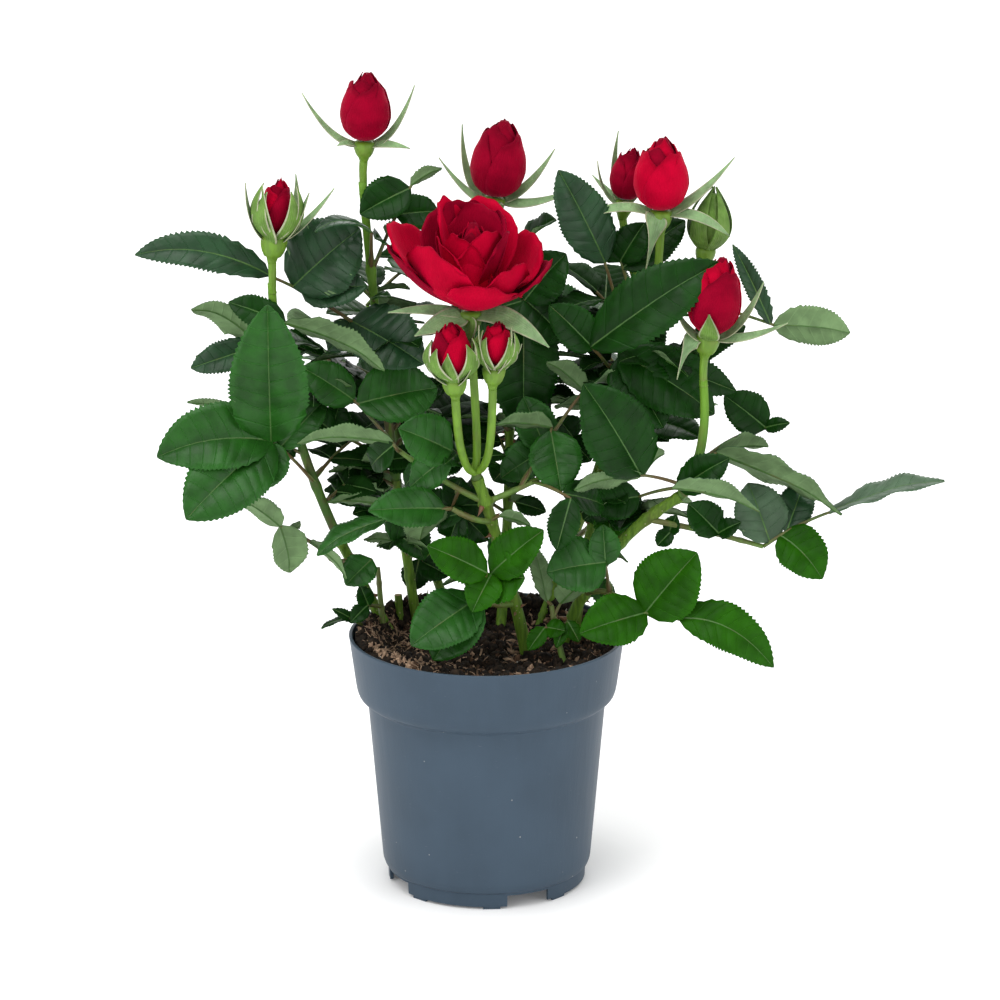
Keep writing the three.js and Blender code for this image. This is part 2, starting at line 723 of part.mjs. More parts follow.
for (const [name, bloom] of Object.entries(BLOOMS)) {
  const node = bloom.stem[0] + "_top";
  const hub = V(bloom.hub);
  const apex = V(bloom.apex);
  const axis = apex.clone().sub(hub).normalize();
  const side = V([0, 1, 0]).cross(axis).normalize();
  const [hipRadius, hipHeight] = bloom.hip;
  const hipFoot = hub.clone().addScaledVector(axis, -hipHeight);
  const start = stems[node].frame(bloom.stem[1]).p;
  const stalk = bow(start, V(bloom.pull), hipFoot.clone().addScaledVector(axis, 0.5), side);
  const pedicel = limb(stalk, ...PEDICEL_RADII, 6, 3);
  const hipBow = bow(hipFoot, hipFoot.clone().lerp(hub, 0.5), hub, side);
  const parts = [pedicel, carry(HIP_PROFILE, 6, hipBow, (x, z) => [x * hipRadius, z * hipRadius])];
  for (const [dx, dy, dz, width, out, rise] of bloom.sepals) {
    const away = V([dx, dy, 0]).normalize();
    const root = hub.clone().addScaledVector(away, hipRadius * 0.5).addScaledVector(axis, -SEPAL_ROOT);
    const pull = hub.clone().addScaledVector(away, out).addScaledVector(axis, rise);
    const tip = hub.clone().add(V([dx, dy, dz]));
    const upper = axis.clone().addScaledVector(away, -0.9).addScaledVector(V([0, -1, 0]), SEPAL_TURN);
    parts.push(blade(bow(root, pull, tip, upper), SEPAL_OUTLINE, width, SEPAL_THICKNESS, 0.1));
  }
  const budBow = (grow) => {
    const foot = hub.clone().addScaledVector(axis, (bloom.closed ? -1 : GAP + 0.3) - grow);
    const top = apex.clone().addScaledVector(axis, grow);
    return bow(foot, foot.clone().lerp(top, 0.5), top, side);
  };
  if (bloom.closed) {
    parts.push(bud(budBow(0), bloom.width, 0));
  } else {
    const petals = bloom.open ? openRose(hub, axis, 0) : bud(budBow(0), bloom.width, 0);
    const gauge = bloom.open ? openRose(hub, axis, GAP) : bud(budBow(GAP), bloom.width, GAP);
    piece("petals_" + name, petals, PETAL_RED, 0.6);
    remember(petals, "petals_" + name);
    nodes.get(node).cuts.push(gauge);
  }
  for (const part of parts) {
    piece(node, part, FOLIAGE, 0.5);
    remember(part, node);
  }
}

// ---------- leaves ----------

// One compound leaf: a rachis from its stem to its hub, and leaflets that start along it.
function leaf(node, at, hub, leaflets, id) {
  const start = stems[node].frame(at).p;
  const end = V(hub);
  const reach = start.distanceTo(end);
  const own = (q) => q.node === node && (q.leaf === null || q.leaf === id);
  const arched = (swing) => {
    const pull = start.clone().lerp(end, 0.5);
    pull.z += reach * RACHIS_ARCH;
    pull.y += swing;
    return bow(start, pull, end, V([0.02, -0.03, 1]).normalize());
  };
  const gauge = (swing) => {
    const whole = arched(swing);
    return limb((t) => whole(0.12 + 0.88 * t), RACHIS_RADIUS + 0.5, RACHIS_RADIUS + 0.4, 4, 4);
  };
  const clear = SWINGS.find((swing) => !meets(gauge(swing), own));
  if (clear === undefined) return;
  const rachis = arched(clear);
  const grown = limb(rachis, RACHIS_RADIUS * RACHIS_TAPER[0], RACHIS_RADIUS * RACHIS_TAPER[1], 3, 2);
  const kept = [];
  leaflets.forEach(([from, x, y, z, width, faceList, lift = 0], number) => {
    const root = rachis(from).p;
    const laid = (swing, grow) => {
      const tip = V([x, y + swing, z]);
      const chord = tip.clone().sub(root);
      const length = chord.length();
      chord.normalize();
      const face = V(faceList);
      const lifted = face.clone().addScaledVector(chord, -face.dot(chord)).normalize();
      const base = root.clone().addScaledVector(chord, -0.6);
      const pull = base.clone().lerp(tip, 0.5).addScaledVector(lifted, length * LEAF_ARCH);
      pull.z += lift;
      const outline = width > BROAD_LEAF ? LEAF_OUTLINE : PLAIN_LEAF_OUTLINE;
      const thickness = LEAF_THICKNESS + 2.6 * grow;
      return blade(bow(base, pull, tip, face), outline, width + 2 * grow, thickness, LEAF_FOLD);
    };
    const swing = SWINGS.find((s) => !meets(laid(s, GAP), (q) => q.node === node && q.leaf === id));
    if (swing === undefined) return;
    kept.push(laid(swing, 0));
  });
  if (!kept.length) return;
  for (const part of [grown, ...kept]) {
    piece(node, part, FOLIAGE, 0.5);
    remember(part, node, id);
  }
}

LEAVES.forEach(([node, at, hub, leaflets], number) => leaf(node, at, hub, leaflets, "leaf " + number));

for (const [node, count, first, last, heading, turn, reach, size] of FILLERS) {
  const next = seeded(node.length * 31 + count * 7 + heading);
  for (let i = 0; i < count; i++) {
    const at = first + ((last - first) * i) / Math.max(1, count - 1);
    const { p } = stems[node].frame(at);
    const way = degrees(heading + turn * i + (next() - 0.5) * 24);
    const rise = degrees(14 + next() * 34);
    const out = V([Math.cos(way) * Math.cos(rise), Math.sin(way) * Math.cos(rise), Math.sin(rise)]);
    const across = V([-Math.sin(way), Math.cos(way), 0]);
    const hub = p.clone().addScaledVector(out, reach * (0.9 + next() * 0.3));
    const length = size * (0.85 + next() * 0.3);
    const face = [-out.x * 0.3, -out.y * 0.3, 1];
    const leaflet = (from, angle, share, droop) => {
      const root = p.clone().lerp(hub, from);
      const tip = root
        .clone()
        .addScaledVector(out, Math.cos(degrees(angle)) * length * share)
        .addScaledVector(across, Math.sin(degrees(angle)) * length * share);
      tip.z -= length * share * droop;
      return [from, tip.x, tip.y, tip.z, length * share * 0.62, face];
    };
    leaf(
      node,
      at,
      hub.toArray(),
      [
        leaflet(1, (next() - 0.5) * 20, 1, 0.2 + next() * 0.3),
        leaflet(0.8, 58 + next() * 12, 0.82, next() * 0.3),
        leaflet(0.8, -58 - next() * 12, 0.82, next() * 0.3),
      ],
      "filler " + node + " " + i,
    );
  }
}

// ---------- the pot and its soil ----------

const turned = (profile, sides = POT_SIDES) => {
  const lathe = new THREE.LatheGeometry(
    profile.map(([r, z]) => new THREE.Vector2(r, z)),
    sides,
  );
  return solid(lathe.rotateX(Math.PI / 2));
};
const block = (width, depth, height, x, y, z, angle) => {
  const box = new THREE.BoxGeometry(width, depth, height).translate(x, y, z);
  return solid(box.rotateZ(degrees(angle)));
};

let pot = turned([
  [0, 0],
  [BOSS_RADIUS, 0],
  [BOSS_RADIUS + 1, FLOOR_HEIGHT],
  [FOOT_RING_RADIUS - WALL, FLOOR_HEIGHT],
  [FOOT_RING_RADIUS - WALL, PAD_HEIGHT],
  [FOOT_RING_RADIUS, PAD_HEIGHT],
  [FOOT_RING_RADIUS + 0.3, FLOOR_HEIGHT],
  [BODY_FOOT_RADIUS - 0.7, FLOOR_HEIGHT + 0.9],
  [BODY_FOOT_RADIUS + 0.2, FLOOR_HEIGHT + 3.6],
  [BODY_TOP_RADIUS, BODY_TOP_HEIGHT],
  [COLLAR_RADIUS, POT_HEIGHT - COLLAR_HEIGHT],
  [RIM_RADIUS - 0.2, POT_HEIGHT - RIM_DROP],
  [RIM_RADIUS, POT_HEIGHT],
  [RIM_RADIUS - RIM_WIDTH, POT_HEIGHT],
  [COLLAR_RADIUS - WALL, POT_HEIGHT - COLLAR_HEIGHT - 0.6],
  [BODY_TOP_RADIUS - WALL, BODY_TOP_HEIGHT - 0.8],
  [BODY_FOOT_RADIUS - WALL - 1, FLOOR_HEIGHT + WALL],
  [0, FLOOR_HEIGHT + WALL],
]);
const notchWidth = 2 * FOOT_RING_RADIUS * Math.sin(degrees(NOTCH_ANGLE / 2));
const notchHeight = FLOOR_HEIGHT - RING_LIP;
for (const middle of NOTCHES) {
  const notch = block(NOTCH_DEPTH, notchWidth, notchHeight, FOOT_RING_RADIUS, 0, notchHeight / 2, middle);
  pot = pot.subtract(notch);
  const drain = new THREE.CylinderGeometry(DRAIN_RADIUS, DRAIN_RADIUS, 4 * WALL, 8).rotateX(Math.PI / 2);
  drain.translate(DRAIN_PLACE, 0, FLOOR_HEIGHT + WALL / 2).rotateZ(degrees(middle));
  pot = pot.subtract(solid(drain));
}
for (const middle of NOTCHES) {
  for (const step of PAD_PLACES) {
    const place = FOOT_RING_RADIUS - WALL / 2 - 0.2;
    pot = pot.add(block(WALL - 0.4, PAD_LENGTH, 2 * PAD_HEIGHT, place, 0, PAD_HEIGHT, middle + step));
  }
}
piece("pot", pot, 0x59626c, 0.62);

const soilProfile = [
  [0, FLOOR_HEIGHT + WALL + GAP],
  [BODY_FOOT_RADIUS - WALL - 2.6, FLOOR_HEIGHT + WALL + GAP],
  [BODY_TOP_RADIUS - WALL - 1.2, BODY_TOP_HEIGHT - 1.8],
  [COLLAR_RADIUS - WALL - 1, POT_HEIGHT - COLLAR_HEIGHT],
  [COLLAR_RADIUS - WALL + 1.4, SOIL_EDGE],
  [SOIL_PLATEAU + 3, SOIL_TOP + 2],
  [SOIL_PLATEAU, SOIL_TOP],
  [0, SOIL_TOP],
];
const soil = turned(soilProfile, SOIL_SIDES);
piece("soil", soil, 0x2c1f17, 0.95);

// ---------- the whole ----------

const group = new THREE.Group();
for (const [name, { parts, cuts, color, roughness }] of nodes) {
  const joined = cuts.reduce((body, cut) => body.subtract(cut), union(parts));
  const body = largest(joined);
  const data = body.getMesh();
  const geometry = new THREE.BufferGeometry();
  geometry.setAttribute("position", new THREE.BufferAttribute(data.vertProperties, 3));
  geometry.setIndex(new THREE.BufferAttribute(data.triVerts, 1));
  geometry.computeVertexNormals();
  const made = new THREE.Mesh(geometry, new THREE.MeshStandardMaterial({ color, roughness, metalness: 0 }));
  made.name = name;
  group.add(made);
}
export default group;
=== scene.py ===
"""The looks of a miniature rose bush in its nursery pot.

The plan of the bush is in millimetres, +Z up, with its origin at the centre of the pot's foot. Pieces are
made in the same frame, in metres.
"""
import math

import bpy
import numpy as np
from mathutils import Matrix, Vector


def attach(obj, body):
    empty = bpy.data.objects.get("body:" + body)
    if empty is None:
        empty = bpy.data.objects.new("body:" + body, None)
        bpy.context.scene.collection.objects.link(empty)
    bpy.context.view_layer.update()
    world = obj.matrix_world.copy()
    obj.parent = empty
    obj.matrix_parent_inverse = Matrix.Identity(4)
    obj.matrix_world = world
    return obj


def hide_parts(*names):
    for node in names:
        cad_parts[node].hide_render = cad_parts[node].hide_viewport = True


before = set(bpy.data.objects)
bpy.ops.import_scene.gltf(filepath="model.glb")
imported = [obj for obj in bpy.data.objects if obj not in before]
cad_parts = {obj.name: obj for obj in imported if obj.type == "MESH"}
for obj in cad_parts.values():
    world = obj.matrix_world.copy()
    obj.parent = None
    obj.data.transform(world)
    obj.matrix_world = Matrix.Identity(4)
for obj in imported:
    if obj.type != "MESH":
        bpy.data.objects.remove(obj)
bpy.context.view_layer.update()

MM = 0.001

# ---------- the plan of the bush ----------

# The pot.
RIM_RADIUS = 60
POT_HEIGHT = 112
COLLAR_HEIGHT = 25.6
COLLAR_RADIUS = 56.6  # at the collar's lower edge
WALL = 1.5
BODY_TOP_RADIUS = 51.9
BODY_FOOT_RADIUS = 45.4
FOOT_RING_RADIUS = 43.2
FLOOR_HEIGHT = 7
PAD_HEIGHT = 1
NOTCH_ANGLE = 26  # degrees of each of the foot ring's four gaps
NOTCHES = (-65, 25, 115, 205)  # degrees round from +X, the middle of each gap
BOSS_RADIUS = 12
DRAIN_RADIUS = 3.6
DRAIN_REACH = 33  # from the pot's axis to a drain hole's
PAD_ANGLE = 22  # degrees from a gap's middle to the pad on each side of it

# The soil.
SOIL_TOP = 104
SOIL_PLATEAU = 50
SOIL_EDGE = 108.5  # beside the pot's wall

# Leaves, as a share of their own length.
LEAF_FOLD = 0.15
LEAF_ARCH = 0.1
RACHIS_RADIUS = 0.8
RACHIS_ARCH = 0.08

# The ways a leaf's upper side can face.
UP = (0, -0.1, 1)
FRONT = (0, -0.85, 0.53)
BACK = (0, 0.7, 0.71)
AWAY = (0, 0.96, 0.15)
FORWARD = (0, -1, 0)

# Canes: foot on the soil, pull and top, then the radius at the foot and at the top.
CANES = {
    "left": [[-40, 19], [-55.5, 17, 131], [-66, 12, 155], 2.6, 2.2],
    "back_left": [[-30, 32], [-35.5, 31, 137.5], [-39.5, 30, 172.5], 2.4, 2.1],
    "centre": [[18, -4], [9, -6, 146], [-4, -15, 186.5], 2.8, 2.5],
    "right": [[32, 7], [45, 3, 150], [83.5, -2, 174.5], 2.8, 2.4],
    "right_back": [[38, 18], [46, 26, 165.5], [58, 30, 206], 2.5, 2.1],
    "back": [[6, 30], [10, 46, 151], [10, 46, 191], 2.4, 2.1],
    "rear_right": [[22, 38], [40.5, 54, 141], [51, 64, 173.5], 2.2, 1.9],
    "rear_left": [[-14, 40], [-31, 56, 141], [-37, 68, 172], 2.2, 1.9],
}

# A stub left where a cane was cut: foot, height and radius.
STUB = [[-38, 28], 16, 2]

# Crown stems go on from the top of the cane of the same name: pull and tip.
CROWNS = {
    "left": [[-90.5, 7, 214], [-91.5, 1, 268.5]],
    "back_left": [[-48, 27, 242], [-53, 21, 308]],
    "centre": [[-4.5, -15.5, 189.5], [-5, -16, 192.5]],
    "right": [[96, -3, 191], [93, 0, 226]],
    "right_back": [[68, 30, 231.5], [73.5, 28, 260.5]],
    "back": [[8, 46, 245], [3, 37, 281.5]],
    "rear_right": [[61, 74, 207.5], [65.5, 86, 239]],
    "rear_left": [[-47.5, 80, 202.5], [-53.5, 90, 235.5]],
}

# Side shoots: the cane and the place on it, pull and tip. Two shoots come straight from the soil.
SHOOTS = {
    "centre_left": ["centre", 0.86, [-18, -16, 184], [-39.5, -12, 199.5]],
    "centre_low": ["centre", 0.75, [-6, -22, 169], [-14.5, -22, 175]],
    "centre_front": ["centre", 0.3, [4, -16, 128], [-2, -20, 134]],
    "centre_right": ["centre", 0.86, [12, -10, 179], [25, -6, 185]],
    "back_left_low": ["back_left", 0.7, [-38.5, 24, 158.5], [-42.5, 20, 160]],
    "left_low": ["left", 0.72, [-64, 8, 138], [-70, 5, 147]],
    "right_low": ["right", 0.8, [95.5, -3, 159.5], [119.5, -4, 152.5]],
    "right_foot": ["right", 0.3, [53.5, -10, 138], [63.5, -18, 127]],
    "rear_right_low": ["rear_right", 0.45, [44, 40, 150], [54, 34, 152]],
    "rear_left_low": ["rear_left", 0.45, [-34, 62, 144], [-46, 66, 148]],
    "low_right": [None, [34, -18], [30, -16, 116], [28, -14, 129]],
    "low_left": [None, [-44.5, 10], [-46, 12, 120], [-47.5, 12, 138]],
}

# Blooms: what it is, the crown and the place on its stem, the pedicel's pull, the top of the hip, the petals'
# apex and width, the hip's radius and height, and the sepals: tip from the hip's top, width, then how far out
# and up the sepal first goes.
BLOOMS = {
    "left": (
        "bud", "left", 0.96, (-91, 0, 272), (-90, 0, 289.5), (-87, 0, 315), 15, (5.4, 11), (
        (-12, -2, 23.5, 5, 13, 6), (-4.5, -7, 24, 12, 11, 6), (15, -3, 19.5, 9, 11, 5),
        (25.5, 3, 20, 5, 14, 4), (9, 8, 25, 5, 14, 6))),
    "back_left": (
        "dark", "back_left", 0.96, (-53, 21, 312), (-52, 20, 326), (-50.5, 18, 357), 22.5, (4.3, 8), (
        (-26.5, 0, 21, 5, 15, -1), (21.5, 2, 24, 5, 14, 0), (-11.5, -4, -1, 4, 8, 1),
        (19.5, -5, -2, 5, 10, 0), (3.5, 18, 9.5, 5, 12, -2))),
    "back": (
        "dark", "back", 0.96, (3, 36, 286.5), (3.5, 35, 298), (8, 33, 333), 25.5, (4.6, 9), (
        (-24, -2, 18, 6, 12, -1), (-14, 8, 30.5, 5, 17, 2), (26, 4, 20.5, 6, 15, 1),
        (36.5, -4, 5.5, 6, 16, -6), (3, -14, 0.5, 5, 9, -3))),
    "right_back": (
        "bud", "right_back", 0.96, (74.5, 26, 274), (75, 25, 294.5), (75.5, 23, 327.5), 25, (4.6, 9), (
        (-34.5, 2, -4.5, 6, 18, 5), (-7, -12, -25.5, 11, 8, -4), (31.5, 4, 22.5, 6, 16, 3),
        (28, 12, 16.5, 6, 15, 1), (29.5, -6, -10, 6, 17, 1))),
    "right_back_second": (
        "dark", "right_back", 0.72, (62, 44, 265.5), (60, 46, 294), (63.5, 45, 318), 17, (3.8, 8), (
        (-12, -2, 18, 4, 12, 3), (-3, 4, 30, 4, 13, 6), (10, 12, 20.5, 4, 12, 4),
        (-14, 12, 8.5, 4, 10, 2))),
    "right_back_closed": (
        "closed", "right_back", 0.6, (92, 34, 245.5), (95, 36, 275.5), (98, 36, 299.5), 17, (4.2, 8), ()),
    "right": (
        "bud", "right", 0.96, (92.5, 0, 230), (95, 0, 246), (101, -1, 281), 24, (5, 10), (
        (-14, -3, 13, 8, 13, 3), (-0.5, -14, 12.5, 9, 14, 2), (23.5, 2, 23, 6, 15, 1),
        (33.5, -5, 6.5, 6, 17, -3), (-13.5, -5, -18.5, 8, 11, 1))),
    "centre_left": (
        "bud", "centre", 0.5, (-11.5, -27, 191), (-13.5, -38, 237.5), (-15, -40, 262.5), 18.5, (5, 9), (
        (-11.5, -4, 13, 9, 13, 4), (-2.5, -10, 13, 8, 13, 4), (9, -6, 15.5, 10, 12, 4),
        (4, 8, 14.5, 6, 10, 4), (-9.5, 7, 14.5, 6, 10, 4))),
    "centre_right": (
        "bud", "centre", 0.6, (3, -24, 191), (3.5, -36, 242), (5.5, -38, 262.5), 14, (4.6, 9.5), (
        (-6.5, -5, 19, 9, 10, 5), (7, -5, 18, 9, 10, 5), (11.5, 2, 9, 4, 9, 4), (0, 8, 14, 5, 9, 4))),
    "centre": (
        "open", "centre", 0.9, (-2.5, -18, 194), (-6.5, -24, 262.5), (-5.5, -26, 299), 70, (4.6, 10), (
        (-35, -2, 0, 7, 16, 2), (-23.5, -14, -7, 12, 12, -3), (33, -12, -12.5, 11, 16, 2),
        (-1, -6, -14.5, 8, 5, -5), (5.5, 24, 3.5, 7, 14, 0))),
}

# The open rose's furled heart.
HEART_WIDTH = 23
HEART_HEIGHT = 40

# The open rose's petals, the inner ones first. A petal's row is its turn about the bloom from its right
# towards its back, length, width, its slope away from upright at the start and the end, its cup, how far
# its rim rolls back (degrees), how much longer it is on one side, and whether it is bright or dark.
ROSE_PETALS = [
    (80, 43, 26, 18, 6, 0.5, 15, 0, "dark"),
    (145, 47, 21, 24, 8, 0.6, 40, 0, "bright"),
    (205, 34, 20, 34, 8, 0.5, 35, 0.1, "bright"),
    (256, 34, 21, 26, 2, 0.5, 35, 0.2, "bright"),
    (300, 37, 23, 25, 0, 0.55, 20, -0.1, "bright"),
    (352, 37, 24, 34, 4, 0.5, 20, 0, "dark"),
    (40, 41, 26, 26, 6, 0.5, 15, 0, "dark"),
    (112, 45, 28, 24, 8, 0.5, 20, 0, "dark"),
    (118, 45, 34, 42, 16, 0.36, 35, 0, "dark"),
    (80, 48, 33, 42, 12, 0.34, 50, 0, "bright"),
    (163, 50, 35, 66, 24, 0.36, 35, 0, "bright"),
    (188, 46, 28, 76, 26, 0.4, 25, 0, "dark"),
    (226, 50, 36, 74, 3, 0.4, 25, 0, "bright"),
    (292, 33, 36, 86, 20, 0.36, 50, 0.22, "bright"),
    (320, 40, 27, 78, 4, 0.4, 40, 0, "bright"),
    (34, 48, 33, 78, 8, 0.34, 45, 0, "bright"),
    (2, 42, 28, 84, 26, 0.36, 35, 0, "dark"),
]

# Leaflets of another green than their leaf's: the leaf and its leaflet.
LEAFLET_GREENS = {
    ("leaf 24", 0): "grey", ("leaf 24", 2): "grey", ("leaf 24", 3): "hazy", ("leaf 20", 0): "grey",
}

# Sprays that fill the back and the inside: the stem, how many leaves, the first and the last place on it, the
# way that the first leaf points (degrees from +X towards +Y), the turn between two leaves, the stalk's length
# and the end leaflet's length.
FILLERS = [
    ("rear_right_top", 5, 0.02, 1, 20, 72, 27, 40),
    ("rear_left_top", 5, 0.02, 1, 60, 72, 27, 40),
    ("back_top", 3, 0.05, 0.6, 40, 70, 26, 38),
    ("right_back_top", 3, 0.04, 0.5, 10, 70, 28, 38),
    ("left_top", 2, 0.2, 0.6, 50, 60, 26, 38),
    ("back_left_top", 3, 0.1, 0.6, 60, 60, 28, 38),
    ("rear_right_low", 1, 1, 1, 330, 80, 18, 32),
    ("rear_left_low", 2, 0.5, 1, 150, 80, 18, 32),
]

# More sprays of the same kind, between the front and the back.
INNER_SPRAYS = [
    ("cane_back", 4, 0.55, 0.98, 200, 137, 15, 24),
    ("back_top", 5, 0.06, 0.62, 350, 137, 16, 24),
    ("back_left_top", 5, 0.02, 0.55, 250, 140, 15, 22),
    ("right_back_top", 5, 0.05, 0.5, 240, 140, 16, 24),
    ("cane_right_back", 3, 0.5, 0.95, 300, 137, 13, 20),
    ("cane_back_left", 3, 0.55, 0.95, 260, 150, 13, 20),
    ("left_top", 3, 0.1, 0.5, 40, 150, 14, 20),
    ("centre_top", 2, 0.1, 0.4, 80, 90, 13, 18),
]

# Leaves that show from the front: the stem, the place on it, the end of the stalk, the green, and the
# leaflets, each with its place on the stalk, its tip, its width, the way that its upper side faces and how
# far its middle is lifted.
LEAVES = [
    ("left_top", 0.18, (-92, -12, 202), "mid", (
        (1, -92, -32, 266, 34, FRONT), (1, -140, -30, 201, 29, FRONT, 6), (1, -127, -44, 177, 33, FRONT, 2),
        (0.95, -111, -4, 212, 16, FRONT), (0.95, -95, -20, 183, 18, FRONT), (0.8, -69, 2, 217, 16, FRONT),
        (0.85, -128, 6, 217, 15, BACK, 4))),
    ("left_top", 0.45, (-98, 6, 240), "hazy", (
        (1, -126, -2, 259, 17, BACK, 5), (1, -127, 2, 231, 14, FRONT, -2), (0.9, -110, 10, 221, 10, BACK))),
    ("left_top", 0.62, (-86, -3, 252), "deep", (
        (1, -42, -8, 234, 17, BACK), (1, -110, -2, 261, 14, FRONT))),
    ("back_left_top", 0.46, (-93, 8, 270), "hazy", (
        (1, -150, 2, 281, 17, FRONT, 10), (0.78, -54, 12, 290, 34, FRONT), (0.7, -51, 6, 266, 20, FRONT),
        (0.25, -27, 2, 233, 29, FRONT), (0.2, -68, 12, 236, 16, FRONT))),
    ("back_left_top", 0.69, (-32, 20, 307), "deep", (
        (1, -19, 16, 316, 8, BACK), (0.95, -54, 12, 296, 19, FRONT), (0.62, -20, 26, 294, 16, FRONT),
        (0.4, -36, 16, 290, 9, BACK), (0.3, -47, 8, 287, 11, FRONT))),
    ("back_left_top", 0.7, (-49, 8, 289), "hazy", ((1, -73, -4, 293, 12, UP, 6),)),
    ("back_left_top", 0.56, (-49, 20, 257), "deep", ((1, -41, 16, 259, 7, UP),)),
    ("back_left_top", 0.04, (-67, 18, 198), "deep", (
        (1, -82, 12, 211, 14, FRONT), (1, -64, 26, 208, 14, FRONT))),
    ("back_left_top", 0.02, (-48, 30, 177), "deep", (
        (1, -65, 28, 175, 15, BACK), (0.9, -45, 34, 165, 16, BACK))),
    ("centre_left", 1, (-57, 0, 217), "mid", (
        (1, -79, -4, 233, 19, FRONT), (0.9, -21, 10, 220, 28, FRONT))),
    ("centre_left", 0.95, (-40, -14, 202), "deep", (
        (1, -81, -22, 206, 15, BACK), (0.8, -50, -6, 189, 14, FRONT))),
    ("centre_left", 0.5, (-15, -20, 200), "mid", (
        (1, -37, -30, 213, 23, FRONT), (0.8, -33, -12, 183, 16, FRONT))),
    ("centre_low", 1, (-43, -26, 171), "mid", (
        (1, -73, -34, 159, 17, UP), (0.12, -50, -38, 179, 19, FRONT), (0.3, -29, -8, 157, 20, UP))),
    ("centre_front", 1, (-4, -27, 136), "mid", (
        (1, -32, -47, 122, 26, FRONT), (0.95, -23, -38, 112, 23, FRONT))),
    ("centre_front", 0.8, (2, -25, 147), "fresh", (
        (1, 24, -30, 168, 20, FRONT), (0.7, 16, -34, 148, 23, FRONT))),
    ("centre_front", 0.95, (0, -31, 149), "fresh", (
        (1, -25, -40, 164, 19, FRONT), (0.7, -19, -16, 140, 16, UP))),
    ("back_left_low", 1, (-45, 14, 166), "mid", (
        (1, -69, 6, 170, 9, BACK), (0.5, -27, 24, 140, 16, FRONT))),
    ("left_low", 1, (-89, -2, 161), "deep", (
        (1, -107, -8, 176, 17, BACK), (1, -84, -12, 143, 19, BACK), (0.85, -81, 4, 159, 10, BACK),
        (0.35, -59, -6, 141, 11, BACK))),
    ("left_low", 0.6, (-50, 4, 144), "mid", ((1, -61, -4, 135, 15, FRONT),)),
    ("right_top", 0.12, (66, -12, 187), "deep", (
        (1, 42, -22, 230, 31, FRONT), (0.95, 37, -18, 183, 15, BACK), (0.95, 76, 0, 194, 18, BACK))),
    ("right_top", 0.06, (80, -18, 183), "deep", (
        (1, 117, -26, 176, 19, BACK), (0.4, 103, -20, 197, 16, FRONT))),
    ("right_top", 0.3, (99, 2, 193), "hazy", (
        (1, 154, -16, 173, 27, BACK, -4), (1, 122, 14, 193, 14, BACK))),
    ("right_top", 0.35, (121, 20, 199), "deep", (
        (1, 103, 22, 213, 19, FRONT), (1, 131, 14, 203, 7, FRONT))),
    ("right_back_top", 0.9, (124, 20, 245), "hazy", (
        (1, 157, 14, 244, 18, AWAY), (0.97, 106, 24, 280, 9, FRONT))),
    ("right_low", 1, (148, -4, 168), "fresh", (
        (1, 196, -8, 186, 17, UP, -3), (0.25, 145, -14, 141, 21, FRONT, 4), (0.1, 113, 4, 179, 23, FRONT),
        (0.35, 138, 10, 178, 16, FRONT))),
    ("right_low", 0.6, (100, -6, 159), "deep", (
        (1, 87, -4, 172, 16, FRONT), (0.9, 109, -12, 166, 9, FRONT))),
    ("right_foot", 1, (83, -28, 127), "fresh", (
        (1, 124, -36, 108, 21, FRONT, 13), (0.25, 90, -24, 156, 31, FRONT),
        (0.25, 40, -34, 123, 23, FRONT))),
    ("right_foot", 0.5, (51, -16, 149), "mid", (
        (1, 26, -26, 148, 25, FRONT), (0.9, 50, -12, 165, 14, FRONT))),
    ("centre_right", 1, (28, 0, 205), "mid", ((1, 4, -8, 209, 16, BACK), (0.9, 32, -14, 180, 23, FRONT))),
    ("centre_right", 0.8, (36, -24, 180), "deep", (
        (1, 30, -28, 158, 14, FRONT), (0.8, 51, -10, 170, 16, FRONT))),
    ("centre_right", 0.6, (42, 12, 218), "deep", ((1, 26, 8, 233, 14, BACK),)),
    ("right_back_top", 0.3, (51, 28, 271), "hazy", ((1, 31, 22, 313, 23, FRONT),)),
    ("right_back_top", 0.12, (45, 6, 239), "deep", (
        (1, 98, -6, 280, 28, FRONT), (0.95, 27, 4, 258, 18, FRONT))),
    ("right_back_top", 0.08, (57, 12, 235), "deep", (
        (1, 99, 4, 210, 29, FRONT), (0.9, 76, -2, 205, 27, FRONT), (0.9, 109, 16, 217, 18, FRONT))),
    ("right_back_top", 0.55, (58, 34, 270), "deep", (
        (1, 50, 36, 283, 14, FRONT), (1, 68, 30, 288, 16, FRONT), (0.9, 86, 30, 287, 20, FRONT))),
    ("back_top", 0.75, (15, 36, 277), "deep", ((1, 30, 32, 289, 17, UP), (0.9, -11, 22, 283, 16, UP))),
    ("back_top", 0.5, (17, 30, 254), "deep", (
        (1, 34, 28, 275, 23, FRONT), (0.95, 35, 24, 237, 25, FRONT), (0.9, 16, 16, 198, 31, FRONT),
        (0.9, -20, 20, 243, 23, FRONT))),
    ("low_right", 1, (26, -14, 131), "deep", ((1, 20, -18, 158, 9, BACK),)),
    ("low_right", 0.8, (32, -14, 130), "deep", ((1, 42, -22, 142, 14, BACK),)),
    ("centre_right", 0.9, (26, 8, 193), "mid", ((1, 6, 4, 181, 17, FRONT), (0.9, 16, 8, 215, 18, FRONT))),
    ("right_top", 0.12, (66, 6, 172), "deep", ((1, 45, 2, 169, 18, FRONT),)),
]

